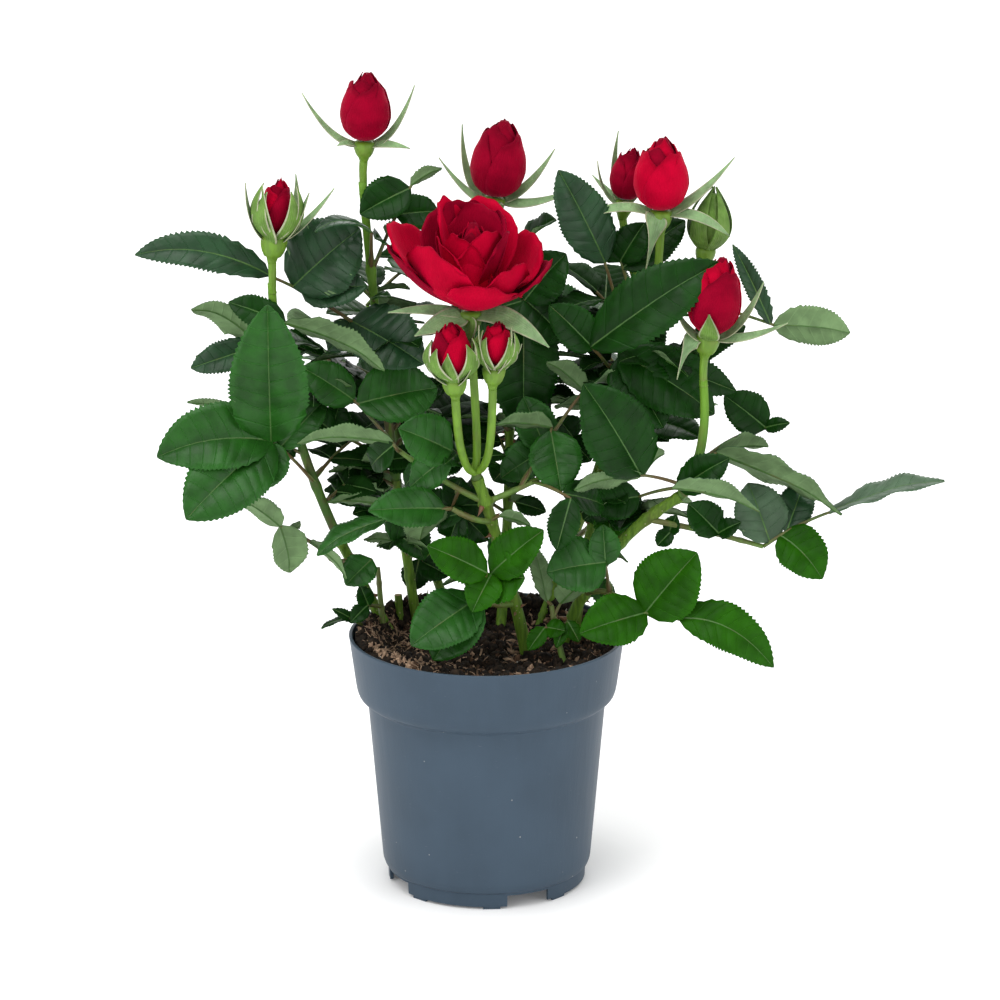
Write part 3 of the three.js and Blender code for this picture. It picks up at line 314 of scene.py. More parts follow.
# Small leaves inside the bush, in the same form.
INNER_LEAVES = [
    ("centre_left", 0.62, (-26, -16, 194), "deep", (
        (1, -35, -12, 182, 10, FRONT), (0.9, -19, -14, 184, 13, FRONT), (0.6, -10, -8, 190, 10, FRONT))),
    ("centre_left", 0.3, (-15, -2, 169), "deep", (
        (1, -29, 4, 171, 14, FRONT), (0.9, 0, 0, 170, 15, FRONT), (0.9, -11, 2, 182, 13, FRONT))),
    ("centre_low", 0.5, (-12, -4, 168), "deep", (
        (1, 1, 2, 153, 15, FRONT), (0.9, -16, 0, 154, 14, FRONT), (0.6, -24, 4, 161, 10, FRONT))),
    ("rear_left_top", 0.02, (-18, 50, 194), "deep", (
        (1, -7, 44, 181, 15, FRONT), (0.9, 3, 48, 184, 15, FRONT), (0.8, -25, 50, 182, 15, FRONT))),
    ("back_left_low", 0.55, (-36, 26, 157), "mid", (
        (1, -27, 22, 138, 14, FRONT), (0.8, -42, 20, 150, 13, FRONT))),
    ("cane_back", 0.84, (8, 34, 176), "deep", (
        (1, 21, 28, 173, 15, FRONT), (0.95, 3, 30, 172, 13, FRONT), (0.8, 19, 32, 183, 14, FRONT))),
    ("cane_back", 0.9, (17, 38, 183), "hazy", ((1, 27, 32, 191, 14, FRONT), (0.9, 14, 34, 191, 12, FRONT))),
    ("cane_back", 0.62, (13, 34, 161), "deep", ((1, 26, 30, 158, 9, FRONT), (0.9, 16, 32, 165, 7, BACK))),
    ("centre_low", 0.05, (6, -16, 170), "mid", ((1, 19, -20, 167, 12, BACK),)),
    ("cane_back", 0.45, (11, 36, 143), "mid", ((1, 23, 30, 137, 13, BACK), (0.8, 1, 30, 138, 13, FRONT))),
    ("cane_right_back", 0.62, (55, 18, 169), "deep", (
        (1, 42, 14, 159, 16, FRONT), (0.95, 67, 16, 160, 15, FRONT), (0.8, 44, 18, 170, 14, FRONT))),
    ("cane_right_back", 0.5, (52, 16, 164), "fresh", (
        (1, 55, 12, 148, 14, FRONT), (0.9, 62, 14, 154, 8, FRONT))),
    ("cane_right_back", 0.3, (49, 16, 146), "mid", (
        (1, 62, 12, 141, 9, BACK), (0.9, 42, 14, 137, 10, FRONT))),
    ("cane_right_back", 0.2, (48, 14, 130), "mid", (
        (1, 52, 8, 122, 9, FRONT), (0.9, 38, 10, 126, 10, FRONT), (0.8, 56, 10, 127, 8, FRONT))),
    ("right_low", 0.3, (79, 2, 157), "deep", ((1, 82, -2, 166, 8, FRONT), (0.8, 74, 2, 151, 8, FRONT))),
    ("rear_right_top", 0.1, (35, 60, 182), "deep", (
        (1, 27, 54, 170, 16, FRONT), (0.9, 46, 54, 174, 15, FRONT), (0.8, 31, 58, 193, 15, FRONT))),
    ("low_left", 0.5, (-52, 4, 123), "deep", ((1, -59, 0, 117, 8, FRONT), (0.9, -55, 2, 133, 8, FRONT))),
    ("low_left", 0.1, (-60, 2, 118), "deep", ((1, -72, -2, 115, 6, UP), (0.8, -67, 0, 123, 5, FRONT))),
    ("low_right", 0.5, (35, -18, 123), "fresh", (
        (1, 40, -22, 115, 7, FRONT), (0.8, 30, -24, 113, 6, FRONT))),
    ("low_right", 0.65, (25, -18, 120), "fresh", (
        (1, 18, -24, 112, 8, FRONT), (0.8, 34, -22, 120, 9, FRONT))),
    ("cane_rear_left", 0.3, (-30, 42, 132), "deep", (
        (1, -33, 38, 119, 13, FRONT), (0.8, -17, 38, 126, 14, FRONT))),
    ("centre_front", 0.8, (2, -27, 147), "fresh", ((1, -6, -41, 135, 16, FRONT),)),
]

# How far a leaf's stalk or a leaflet's tip swings back to clear its neighbours, in mm. None leaves it out.
SWUNG = {
    ("leaf 6", "stalk"): 5, ("leaf 8", 1): 5, ("leaf 10", "stalk"): -5, ("leaf 11", 1): -5,
    ("leaf 17", 3): -5, ("leaf 22", "stalk"): 10, ("leaf 29", 1): 10, ("leaf 33", "stalk"): -10,
    ("leaf 34", 2): 10, ("leaf 35", 1): -15, ("leaf 39", 1): 5, ("filler rear_right_top 3", 0): 10,
    ("filler rear_right_top 3", 2): -15, ("filler back_top 0", 0): -10, ("filler right_back_top 0", 2): 10,
    ("filler right_back_top 1", "stalk"): None, ("filler left_top 0", 2): None,
    ("filler back_left_top 0", 1): -5, ("filler back_left_top 1", 1): None,
    ("filler back_left_top 2", 1): 15, ("filler rear_left_low 1", "stalk"): None,
}

# ---------- curves and skins ----------


def unit(a):
    return a / np.maximum(np.linalg.norm(a, axis=-1, keepdims=True), 1e-9)


def around(sides):
    """The angles of a ring's corners."""
    return np.linspace(0, 2 * math.pi, sides, endpoint=False)


def ring_faces(low, high, sides):
    """The faces between two rings, by the number of each ring's first point."""
    steps = [(j, (j + 1) % sides) for j in range(sides)]
    return [(low + j, low + k, high + k, high + j) for j, k in steps]


def body_from(name, points, faces):
    """A new mesh object in the scene. Its points are in metres."""
    mesh = bpy.data.meshes.new(name)
    mesh.from_pydata(points, [], faces)
    body = bpy.data.objects.new(name, mesh)
    bpy.context.scene.collection.objects.link(body)
    return body


def seeded(seed):
    """Seeded numbers from 0 to 1."""
    state = (seed * 7919 + 12345) % 2**32

    def draw():
        nonlocal state
        state = (state * 1664525 + 1013904223) % 2**32
        return state / 2**32

    return draw


def ease(low, high, x):
    """0 below low, 1 above high, and smooth between."""
    t = np.clip((x - low) / (high - low), 0, 1)
    return t * t * (3 - 2 * t)


class Bow:
    """A curve from start to end, drawn towards pull. Its normal is kept near face."""

    def __init__(self, start, pull, end, face):
        self.start = np.array(start, float)
        self.pull = np.array(pull, float)
        self.end = np.array(end, float)
        self.face = np.array(face, float)

    def frames(self, t):
        """Point, direction, side and normal at each place."""
        t = np.asarray(t, float)[..., None]
        point = (1 - t) ** 2 * self.start + 2 * t * (1 - t) * self.pull + t * t * self.end
        along = unit((1 - t) * (self.pull - self.start) + t * (self.end - self.pull))
        side = unit(np.cross(along, self.face))
        return point, along, side, np.cross(side, along)

    def at(self, t):
        return self.frames(t)[0]

    def length(self):
        return float(np.linalg.norm(np.diff(self.at(np.linspace(0, 1, 9)), axis=0), axis=1).sum())


class Skin:
    """Points, faces and finishes of one piece, in millimetres."""

    def __init__(self):
        self.points = []
        self.faces = []
        self.kinds = []
        self.maps = []
        self.count = 0

    def add(self, points, faces, kinds, maps=None):
        """Adds points (n, 3), faces that count from them, and the finish of each face."""
        self.points.append(points)
        self.faces.extend([tuple(self.count + i for i in face) for face in faces])
        self.kinds.extend(kinds if isinstance(kinds, list) else [kinds] * len(faces))
        self.maps.append(np.zeros((len(points), 2)) if maps is None else maps)
        self.count += len(points)

    def tube(self, rings, kind):
        """Closed tube through rings (n, sides, 3), with flat ends."""
        n, sides = rings.shape[:2]
        faces = []
        for i in range(n - 1):
            faces += ring_faces(i * sides, (i + 1) * sides, sides)
        faces.append(tuple(range(sides))[::-1])
        faces.append(tuple((n - 1) * sides + j for j in range(sides)))
        turn = np.tile(np.linspace(0, 1, sides, endpoint=False), n)
        up = np.repeat(np.linspace(0, 1, n), sides)
        self.add(rings.reshape(-1, 3), faces, kind, np.stack([turn, up], 1))

    def leafy(self, upper, lower, maps, kinds):
        """Closed blade from an upper and a lower sheet (rows, columns, 3).
        kinds(column) gives the finish of the upper side there, and of the lower side."""
        rows, columns = upper.shape[:2]
        under = rows * columns
        faces = []
        finishes = []
        for i in range(rows - 1):
            for j in range(columns - 1):
                a = i * columns + j
                quad = (a, a + 1, a + columns + 1, a + columns)
                top, bottom = kinds(j)
                faces.append(quad)
                finishes.append(top)
                faces.append(tuple(under + k for k in quad[::-1]))
                finishes.append(bottom)
        loop = [i * columns for i in range(rows)]
        loop += [(rows - 1) * columns + j for j in range(1, columns)]
        loop += [i * columns + columns - 1 for i in range(rows - 2, -1, -1)]
        loop += list(range(columns - 2, 0, -1))
        edge = kinds(0)[0]
        for a, b in zip(loop, loop[1:] + loop[:1]):
            faces.append((a, b, under + b, under + a))
            finishes.append(edge)
        points = np.concatenate([upper.reshape(-1, 3), lower.reshape(-1, 3)])
        self.add(points, faces, finishes, np.concatenate([maps.reshape(-1, 2)] * 2))

    def make(self, name, finishes, slot, replaced, sharp=None):
        """The piece as a mesh object that rides on the bush."""
        piece = body_from(name, (np.concatenate(self.points) * MM).tolist(), self.faces)
        mesh = piece.data
        for finish in finishes.values():
            mesh.materials.append(finish)
        order = {kind: i for i, kind in enumerate(finishes)}
        mesh.polygons.foreach_set("material_index", [order[kind] for kind in self.kinds])
        corners = np.zeros(len(mesh.loops), np.int32)
        mesh.loops.foreach_get("vertex_index", corners)
        layer = mesh.uv_layers.new(name="lay")
        layer.data.foreach_set("uv", np.concatenate(self.maps)[corners].ravel())
        mesh.shade_smooth()
        if sharp:
            mesh.set_sharp_from_angle(angle=math.radians(sharp))
        return settle(piece, replaced)


def settle(piece, replaced=()):
    """Fastens a finished piece to the bush."""
    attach(piece, "root")
    if replaced:
        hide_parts(*replaced)
    return piece


def swept(skin, bow, places, radius, kind):
    """A round body along a bow, from its radii (places, sides) in mm."""
    point, _, side, normal = bow.frames(places)
    turn = around(radius.shape[1])[None, :, None]
    ring = np.cos(turn) * side[:, None] - np.sin(turn) * normal[:, None]
    skin.tube(point[:, None] + radius[..., None] * ring, kind)


def limb(skin, bow, first, last, kind, sides=8, steps=12, span=(0, 1), relief=None):
    """A tapering round limb along a bow. relief(turn, t) swells it by a share of its radius."""
    t = np.linspace(*span, steps + 1)
    radius = np.repeat((first + (last - first) * t)[:, None], sides, 1)
    if relief:
        radius = radius * (1 + relief(around(sides)[None, :], t[:, None]))
    swept(skin, bow, t, radius, kind)


def turned(skin, bow, profile, kind, sides=20):
    """A round body along a bow, from its radius at places on it."""
    radius, places = np.array(profile, float).T
    swept(skin, bow, places, np.repeat(radius[:, None], sides, 1), kind)


# ---------- finishes ----------


class Tree:
    """A node tree that is being built."""

    def put(self, socket, value):
        if isinstance(value, Value):
            value = value.socket
        if isinstance(value, bpy.types.NodeSocket):
            self.tree.links.new(value, socket)
        else:
            socket.default_value = value

    def add(self, kind, settings=None, inputs=None):
        node = self.tree.nodes.new(kind)
        for key, value in (settings or {}).items():
            setattr(node, key, value)
        for key, value in (inputs or {}).items():
            self.put(node.inputs[key], value)
        return node


class Value:
    """A socket of a finish's nodes. Arithmetic on it adds Math nodes."""

    def __init__(self, finish, socket):
        self.finish = finish
        self.socket = socket

    def math(self, operation, *others):
        return self.finish.node("ShaderNodeMath", {"operation": operation}, dict(enumerate((self, *others))))

    def __add__(self, other):
        return self.math("ADD", other)

    def __mul__(self, other):
        return self.math("MULTIPLY", other)

    def __sub__(self, other):
        return self.math("SUBTRACT", other)

    def __rsub__(self, other):
        return self.math("MULTIPLY", -1).math("ADD", other)

    __radd__ = __add__
    __rmul__ = __mul__

    def between(self, low, high):
        """0 below low, 1 above high, and smooth between."""
        settings = {"interpolation_type": "SMOOTHSTEP"}
        inputs = {"Value": self, "From Min": low, "From Max": high}
        return self.finish.node("ShaderNodeMapRange", settings, inputs)


class Finish(Tree):
    """One material, on Blender's plain surface shader."""

    def __init__(self, name, **constants):
        self.material = bpy.data.materials.new(name)
        self.material.use_nodes = True
        self.tree = self.material.node_tree
        self.shader = self.tree.nodes["Principled BSDF"]
        for socket, value in constants.items():
            self.shader.inputs[socket.replace("_", " ")].default_value = value

    def node(self, kind, settings=None, inputs=None, out=0):
        return Value(self, self.add(kind, settings, inputs).outputs[out])

    def place(self, stretch=(1, 1, 1)):
        """Object coordinates in metres, stretched."""
        here = self.node("ShaderNodeTexCoord", out="Object")
        return self.node("ShaderNodeMapping", inputs={"Vector": here, "Scale": stretch})

    def noise(self, size, detail=2, stretch=(1, 1, 1), rough=0.5):
        """Clouds of the given size in mm."""
        inputs = {"Vector": self.place(stretch), "Scale": 1 / (size * MM)}
        inputs |= {"Detail": detail, "Roughness": rough}
        return self.node("ShaderNodeTexNoise", inputs=inputs)

    def specks(self, spacing, size):
        """1 inside round specks of the given radius, at the given spacing, in mm, and 0 outside."""
        inputs = {"Vector": self.place(), "Scale": 1 / (spacing * MM)}
        cells = self.node("ShaderNodeTexVoronoi", inputs=inputs, out="Distance")
        return 1 - cells.between(size / spacing * 0.6, size / spacing)

    def across(self):
        """The piece's own map: across, and along."""
        here = self.node("ShaderNodeUVMap", {"uv_map": "lay"})
        split = self.add("ShaderNodeSeparateXYZ", inputs={0: here})
        return Value(self, split.outputs[0]), Value(self, split.outputs[1])

    def mix(self, first, second, factor):
        settings = {"data_type": "RGBA"}
        return self.node("ShaderNodeMix", settings, {0: factor, 6: tint(first), 7: tint(second)}, out=2)

    def colour(self, value):
        self.put(self.shader.inputs["Base Color"], tint(value))
        return self

    def rough(self, value):
        self.put(self.shader.inputs["Roughness"], value)
        return self

    def bump(self, height, depth, strength=1.0):
        """Relief of the given depth in mm."""
        inputs = {"Height": height, "Distance": depth * MM, "Strength": strength}
        self.put(self.shader.inputs["Normal"], self.node("ShaderNodeBump", inputs=inputs))
        return self


def tint(colour):
    """A colour with its alpha, or the colour's own socket."""
    return colour if isinstance(colour, Value) else (*colour, 1.0)


def shade(colour, factor):
    return tuple(min(1.0, c * factor) for c in colour)


def leaf_top(name, colour, rough, gloss):
    """The upper side of a leaf: a waxy skin, a little lighter along its side veins."""
    finish = Finish(name, Specular_IOR_Level=gloss)
    across, along = finish.across()
    vein = 1 - along.math("PINGPONG", 0.5).between(0.01, 0.055)
    cloud = finish.noise(10, 3).between(0.3, 0.72)
    skin = finish.mix(shade(colour, 0.72), shade(colour, 1.24), cloud)
    edge = (across - 0.5).math("ABSOLUTE").between(0.4, 0.5)
    skin = finish.mix(skin, shade(colour, 1.6), edge * 0.5)
    finish.colour(finish.mix(skin, shade(colour, 2.6), vein * 0.2))
    finish.rough(rough - 0.02 + finish.noise(3, 2) * 0.16)
    return finish.bump(finish.noise(0.9, 2) * 0.35 - vein * 0.9, 0.24)


def leaf_underside(name, colour):
    """The lower side of a leaf: matt and pale, with its side veins standing out."""
    finish = Finish(name, Specular_IOR_Level=0.2)
    _, along = finish.across()
    vein = 1 - along.math("PINGPONG", 0.5).between(0.02, 0.09)
    skin = finish.mix(shade(colour, 0.8), shade(colour, 1.15), finish.noise(7, 3).between(0.3, 0.7))
    finish.colour(finish.mix(skin, shade(colour, 1.4), vein * 0.3))
    finish.rough(0.72 + finish.noise(3, 2) * 0.12)
    return finish.bump(finish.noise(0.7, 2) * 0.3 + vein * 0.7, 0.18)


def green_stem(name, colour, tan, share):
    """A smooth young stem, tinted in clouds."""
    finish = Finish(name, Specular_IOR_Level=0.4)
    long_grain = finish.noise(2.2, 3, stretch=(1, 1, 0.14))
    cloud = finish.noise(9, 2).between(0.62 - share, 0.95 - share)
    skin = finish.mix(shade(colour, 0.85), shade(colour, 1.15), long_grain.between(0.35, 0.65))
    finish.colour(finish.mix(skin, tan, cloud * 0.75))
    finish.rough(0.42 + long_grain * 0.2)
    return finish.bump(long_grain, 0.22, 0.6)


def crown_stem():
    """A young stem: tinted with brown below, and of the blooms' lime green above."""
    finish = Finish("crown_stem", Specular_IOR_Level=0.2)
    _, along = finish.across()
    long_grain = finish.noise(2.2, 3, stretch=(1, 1, 0.14))
    low = finish.mix((0.05, 0.115, 0.02), (0.085, 0.07, 0.03), finish.noise(10, 2).between(0.45, 0.7))
    skin = finish.mix(low, (0.115, 0.25, 0.02), along.between(0.25, 0.95))
    finish.colour(finish.mix(skin, (0.15, 0.3, 0.035), long_grain.between(0.45, 0.75) * 0.4))
    finish.rough(0.42 + long_grain * 0.2)
    return finish.bump(long_grain, 0.22, 0.6)


def bark():
    """A rose cane: green bark with brown clouds, fine grooves along it and pale pores."""
    finish = Finish("cane_bark", Specular_IOR_Level=0.2)
    groove = finish.noise(1.6, 4, stretch=(1, 1, 0.1), rough=0.6)
    cloud = finish.noise(13, 3, stretch=(1, 1, 0.5)).between(0.42, 0.72)
    skin = finish.mix((0.055, 0.12, 0.009), (0.12, 0.23, 0.02), groove.between(0.3, 0.7))
    skin = finish.mix(skin, (0.075, 0.05, 0.022), cloud * 0.6)
    pore = finish.specks(3.4, 0.5)
    finish.colour(finish.mix(skin, (0.3, 0.29, 0.16), pore * 0.7))
    finish.rough(0.45 + groove * 0.25)
    return finish.bump(groove + pore * 0.5, 0.4)


def petal_red(name, bright, dark):
    """A velvety petal: darker in clouds and towards its rim, pinker at its foot in a painted sheen, with fine
    lengthwise folds.
    """
    velvet = {"Sheen_Weight": 0.25, "Sheen_Roughness": 0.4, "Sheen_Tint": (0.9, 0.03, 0.12, 1)}
    finish = Finish(name, Specular_IOR_Level=0.02, **velvet)
    across, along = finish.across()
    cloud = finish.noise(8, 3).between(0.3, 0.72)
    body = finish.mix(bright, dark, cloud * 0.6)
    body = finish.mix(body, shade(dark, 0.7), along.between(0.86, 1.0) * 0.6)
    # Pinker towards the petal's foot: a painted sheen.
    foot = 1 - along.between(0.02, 0.16)
    body = finish.mix(body, (0.4, 0.04, 0.08), foot * 0.4)
    vein = (across * 30 + finish.noise(3, 2) * 2.2).math("PINGPONG", 0.5).between(0.12, 0.5)
    finish.colour(finish.mix(body, shade(bright, 1.15), vein * 0.16))
    finish.rough(0.5 + cloud * 0.14)
    return finish.bump(vein * 0.5 + finish.noise(0.8, 2) * 0.4, 0.14, 0.7)


def sepal_green(name, colour, pale):
    """A downy sepal, with pale streaks along it."""
    finish = Finish(name, Specular_IOR_Level=0.2)
    across, _ = finish.across()
    streak = (across * 9 + finish.noise(5, 2) * 1.2).math("PINGPONG", 0.5).between(0.25, 0.5)
    down = finish.noise(1.2, 3, stretch=(1, 1, 0.3)).between(0.4, 0.75)
    skin = finish.mix(shade(colour, 0.75), shade(colour, 1.2), finish.noise(6, 2).between(0.3, 0.7))
    finish.colour(finish.mix(skin, pale, down * 0.22 + streak * 0.25))
    finish.rough(0.65 + down * 0.1)
    return finish.bump(down + streak * 0.6, 0.2, 0.6)


def pot_plastic():
    """Slate grey moulded plastic: satin, with dust specks, faint scuffs and a fine skin."""
    finish = Finish("pot_plastic", Specular_IOR_Level=0.12)
    slate = (0.0445, 0.0675, 0.0945)
    cloud = finish.noise(34, 3).between(0.3, 0.7)
    skin = finish.mix(shade(slate, 0.93), shade(slate, 1.08), cloud)
    flow = finish.noise(5, 3, stretch=(1, 1, 0.12)).between(0.35, 0.75)
    skin = finish.mix(skin, shade(slate, 1.12), flow * 0.25)
    dust = finish.specks(7.5, 0.42) * finish.noise(20, 2).between(0.45, 0.6)
    scuff = finish.noise(2.4, 4, stretch=(0.5, 0.5, 3.2), rough=0.7).between(0.66, 0.74)
    skin = finish.mix(skin, (0.16, 0.18, 0.2), scuff * 0.3)
    finish.colour(finish.mix(skin, (0.35, 0.36, 0.35), dust * 0.8))
    finish.rough(0.4 + cloud * 0.07 + scuff * 0.15)
    return finish.bump(finish.noise(0.7, 2) * 0.5 + flow * 0.6 + dust * 1.2, 0.09, 0.8)


def crumbly(name, dark, light, size, rough=0.9):
    """Peat, fibre, grit or wood: two tones in clouds, and a coarse skin."""
    finish = Finish(name, Specular_IOR_Level=0.2)
    cloud = finish.noise(size, 4, rough=0.65)
    finish.colour(finish.mix(dark, light, cloud.between(0.35, 0.7)))
    finish.rough(rough + cloud * 0.08)
    return finish.bump(cloud, size * 0.25)


ALL_FINISHES = (
    leaf_top("leaf_deep", (0.004, 0.031, 0.0018), 0.32, 0.12),
    leaf_top("leaf_mid", (0.0115, 0.068, 0.0062), 0.32, 0.2),
    leaf_top("leaf_fresh", (0.0115, 0.068, 0.001), 0.36, 0.07),
    leaf_top("leaf_hazy", (0.011, 0.042, 0.014), 0.32, 0.26),
    leaf_top("leaf_grey", (0.042, 0.085, 0.042), 0.42, 0.3),
    # A darker, matt copy of the leaf green for leaves inside the bush and at its back: painted shade.
    leaf_top("leaf_shade", (0.0045, 0.024, 0.0025), 0.55, 0.03),
    leaf_underside("leaf_underside", (0.12, 0.2, 0.085)),
    green_stem("leaf_rib", (0.045, 0.12, 0.02), (0.12, 0.12, 0.04), 0.1),
    green_stem("leaf_stalk", (0.07, 0.12, 0.022), (0.11, 0.05, 0.022), 0.36),
    green_stem("shoot", (0.09, 0.17, 0.025), (0.1, 0.07, 0.026), 0.26),
    crown_stem(),
    green_stem("bloom_stalk", (0.115, 0.23, 0.016), (0.14, 0.18, 0.03), 0.12),
    bark(),
    crumbly("cut_wood", (0.25, 0.19, 0.09), (0.45, 0.36, 0.2), 0.9, 0.7),
    green_stem("prickle", (0.14, 0.1, 0.04), (0.13, 0.045, 0.022), 0.4),
    petal_red("petal_bright", (0.41, 0.0004, 0.02), (0.25, 0.0003, 0.012)),
    petal_red("petal_dark", (0.24, 0.0006, 0.015), (0.11, 0.0004, 0.008)),
    sepal_green("sepal", (0.1, 0.205, 0.03), (0.25, 0.34, 0.13)),
    sepal_green("sepal_inner", (0.18, 0.31, 0.13), (0.32, 0.39, 0.26)),
    sepal_green("sepal_margin", (0.3, 0.33, 0.2), (0.5, 0.48, 0.36)),
    pot_plastic(),
    crumbly("peat", (0.0022, 0.0016, 0.0012), (0.028, 0.018, 0.011), 2.4),
    crumbly("coir", (0.15, 0.095, 0.062), (0.38, 0.26, 0.175), 1.6),
    crumbly("bark_chip", (0.022, 0.011, 0.006), (0.11, 0.062, 0.036), 1.8),
    crumbly("grit", (0.45, 0.42, 0.36), (0.75, 0.73, 0.68), 0.8),
)
FINISHES = {finish.material.name: finish.material for finish in ALL_FINISHES}


def chosen(*names):
    return {name: FINISHES[name] for name in names}


# ---------- leaves ----------

TOOTH_PITCH = 2  # mm between two teeth of a leaflet's edge
FEWEST_TEETH = 7
MOST_TEETH = 21
VEIN_STEP = 5  # stations between two side veins
VEIN_SLANT = 0.24
# A leaflet's columns from one edge to the other, as shares of its half width.
COLUMNS = (-1, -0.74, -0.42, -0.1, 0, 0.1, 0.42, 0.74, 1)
RIB_COLUMNS = (3, 4)  # the strips of the midrib
BLADE_HALF = 0.2  # mm, half a leaflet's thickness
RIB_HALF = 0.34  # mm, half the midrib's width at its foot


def leaf_breadth(u):
    """A leaflet's half width along it, as a share of the widest."""
    rise, fall = 0.68, 0.78
    widest = rise / (rise + fall)
    peak = widest**rise * (1 - widest) ** fall
    return np.clip(u, 0, 1) ** rise * np.clip(1 - u, 0, 1) ** fall / peak


def leaflet(skin, bow, width, tone, dice):
    """A toothed leaflet, keeled along its midrib and quilted between its side veins."""
    length = bow.length()
    teeth = int(min(MOST_TEETH, max(FEWEST_TEETH, round(length / TOOTH_PITCH))))
    rows = 2 * teeth + 1
    station, column = np.meshgrid(np.arange(rows), COLUMNS, indexing="ij")
    s = station / (rows - 1)
    out = np.abs(column)
    u = s + VEIN_SLANT * out * (1 - s) * np.minimum(1, 6 * s)
    rim = out > 0.99
    turn = dice() * 6.3
    beat = 1.4 + 1.8 * dice()
    twist = (dice() - 0.5) * 0.5
    depth = (0.01 * length + 0.38) * (1 + 0.35 * np.sin(station * 12.9 + turn + column))
    tooth = np.where(rim, np.where(station % 2 == 1, 0.5, -0.5), 0) * depth
    tooth = tooth * np.sin(np.pi * np.clip(u, 0, 1)) ** 0.5
    u = np.clip(u + np.where(rim & (station % 2 == 1), 0.36 / (rows - 1), 0), 0, 1)
    half = np.maximum(leaf_breadth(u) * width / 2, 0.25)
    rib = np.minimum(RIB_HALF * (1.05 - 0.75 * s), half * 0.5)
    x = np.sign(column) * np.where(out < 0.2, np.minimum(out * 10, 1) * rib, out * half + tooth)
    fold = LEAF_FOLD * (0.4 + 1.5 * dice())
    cup = (dice() - 0.4) * 0.2
    wave = (0.02 + 0.04 * dice()) * width
    droop = (0.01 + 0.05 * dice()) * length
    flutter = np.sin(beat * 6.283 * u + turn + np.sign(column) * 0.9) * np.sin(np.pi * u) ** 0.5
    lift = np.abs(x) * fold + x * x / width * cup * 2
    lift = lift + wave * out**2 * flutter
    lift = lift + x * twist * u
    quilt = np.abs(np.sin(np.pi * station / VEIN_STEP)) * np.sin(np.pi * np.clip(out, 0, 1)) ** 0.7
    lift = lift + quilt * (0.013 * width + 0.08) - np.where(out < 0.05, 0.2, 0) - droop * ease(0.5, 1, u) ** 2
    point, _, side, normal = bow.frames(u)
    middle = point + x[..., None] * side + lift[..., None] * normal
    thick = BLADE_HALF * (1.15 - 0.5 * out)
    keel = np.where(out < 0.05, 0.55, 0.0) * (1 - 0.6 * s)
    upper = middle + thick[..., None] * normal
    lower = middle - (thick + keel)[..., None] * normal
    maps = np.stack([0.5 + 0.5 * column, station / VEIN_STEP], -1)

    def kinds(column):
        return ("leaf_rib", "leaf_rib") if column in RIB_COLUMNS else (tone, "leaf_underside")

    skin.leafy(upper, lower, maps, kinds)


SEPAL_COLUMNS = (-1, -0.86, -0.45, 0, 0.45, 0.86, 1)
WING_COLUMNS = (-1, -0.5, 0, 0.5, 1)


def blade(skin, bow, width, breadth, thickness, fold, sides, margin, rows, columns=SEPAL_COLUMNS):
    """A thin keeled blade, such as a sepal. sides are its upper and lower finish, and its outermost strips
    are its margin."""
    station, column = np.meshgrid(np.linspace(0, 1, rows), np.array(columns), indexing="ij")
    half = np.maximum(breadth(station) * width / 2, 0.22)
    x = column * half
    point, _, side, normal = bow.frames(station)
    middle = point + x[..., None] * side + (np.abs(x) * fold)[..., None] * normal
    thick = (thickness / 2 * (1 - 0.45 * np.abs(column)))[..., None] * normal
    outermost = (0, len(columns) - 2)
    maps = np.stack([0.5 + 0.5 * column, station], -1)

    def kinds(column):
        return (margin, margin) if column in outermost else sides

    skin.leafy(middle + thick, middle - thick, maps, kinds)


def sepal_breadth(u):
    return np.clip(u + 0.1, 0, 1) ** 0.5 * np.clip(1 - u, 0, 1) ** 0.95 * 2.05


def stipule_breadth(u):
    return np.clip(u + 0.05, 0, 1) ** 0.25 * np.clip(1.02 - u, 0, 1) ** 0.35


# ---------- stems ----------

stems = {}
canes = Skin()
stalks = Skin()
flower_green = Skin()
LEAF_GROUPS = {
    "leaves_left": ("left_top", "left_low", "back_left_top", "back_left_low", "low_left"),
    "leaves_middle": (
        "centre_top", "centre_left", "centre_low", "centre_front", "centre_right", "back_top", "low_right",
    ),
    "leaves_right": ("right_top", "right_low", "right_foot", "right_back_top"),
    "leaves_rear": ("rear_right_top", "rear_left_top", "rear_right_low", "rear_left_low"),
}
leaves = {name: Skin() for name in LEAF_GROUPS}
leaf_skin = {node: leaves[name] for name, nodes in LEAF_GROUPS.items() for node in nodes}
leaf_skin |= {
    "cane_back": leaves["leaves_middle"],
    "cane_right_back": leaves["leaves_right"],
    "cane_rear_left": leaves["leaves_left"],
    "cane_back_left": leaves["leaves_left"],
}


KNOT_SWELL = 0.18  # as a share of the stem's radius
KNOT_REACH = 0.018  # as a share of the stem's length


def knotted(places, phase):
    """Bark relief: shallow ribs, and a swelling at each place where something grows."""

    def relief(turn, t):
        ribs = 0.035 * np.cos(5 * turn + 3 * np.sin(5 * t + phase)) + 0.02 * np.cos(3 * turn - 9 * t + phase)
        knots = sum(KNOT_SWELL * np.exp(-(((t - place) / KNOT_REACH) ** 2)) for place in places)
        return ribs - 0.04 + knots

    return relief


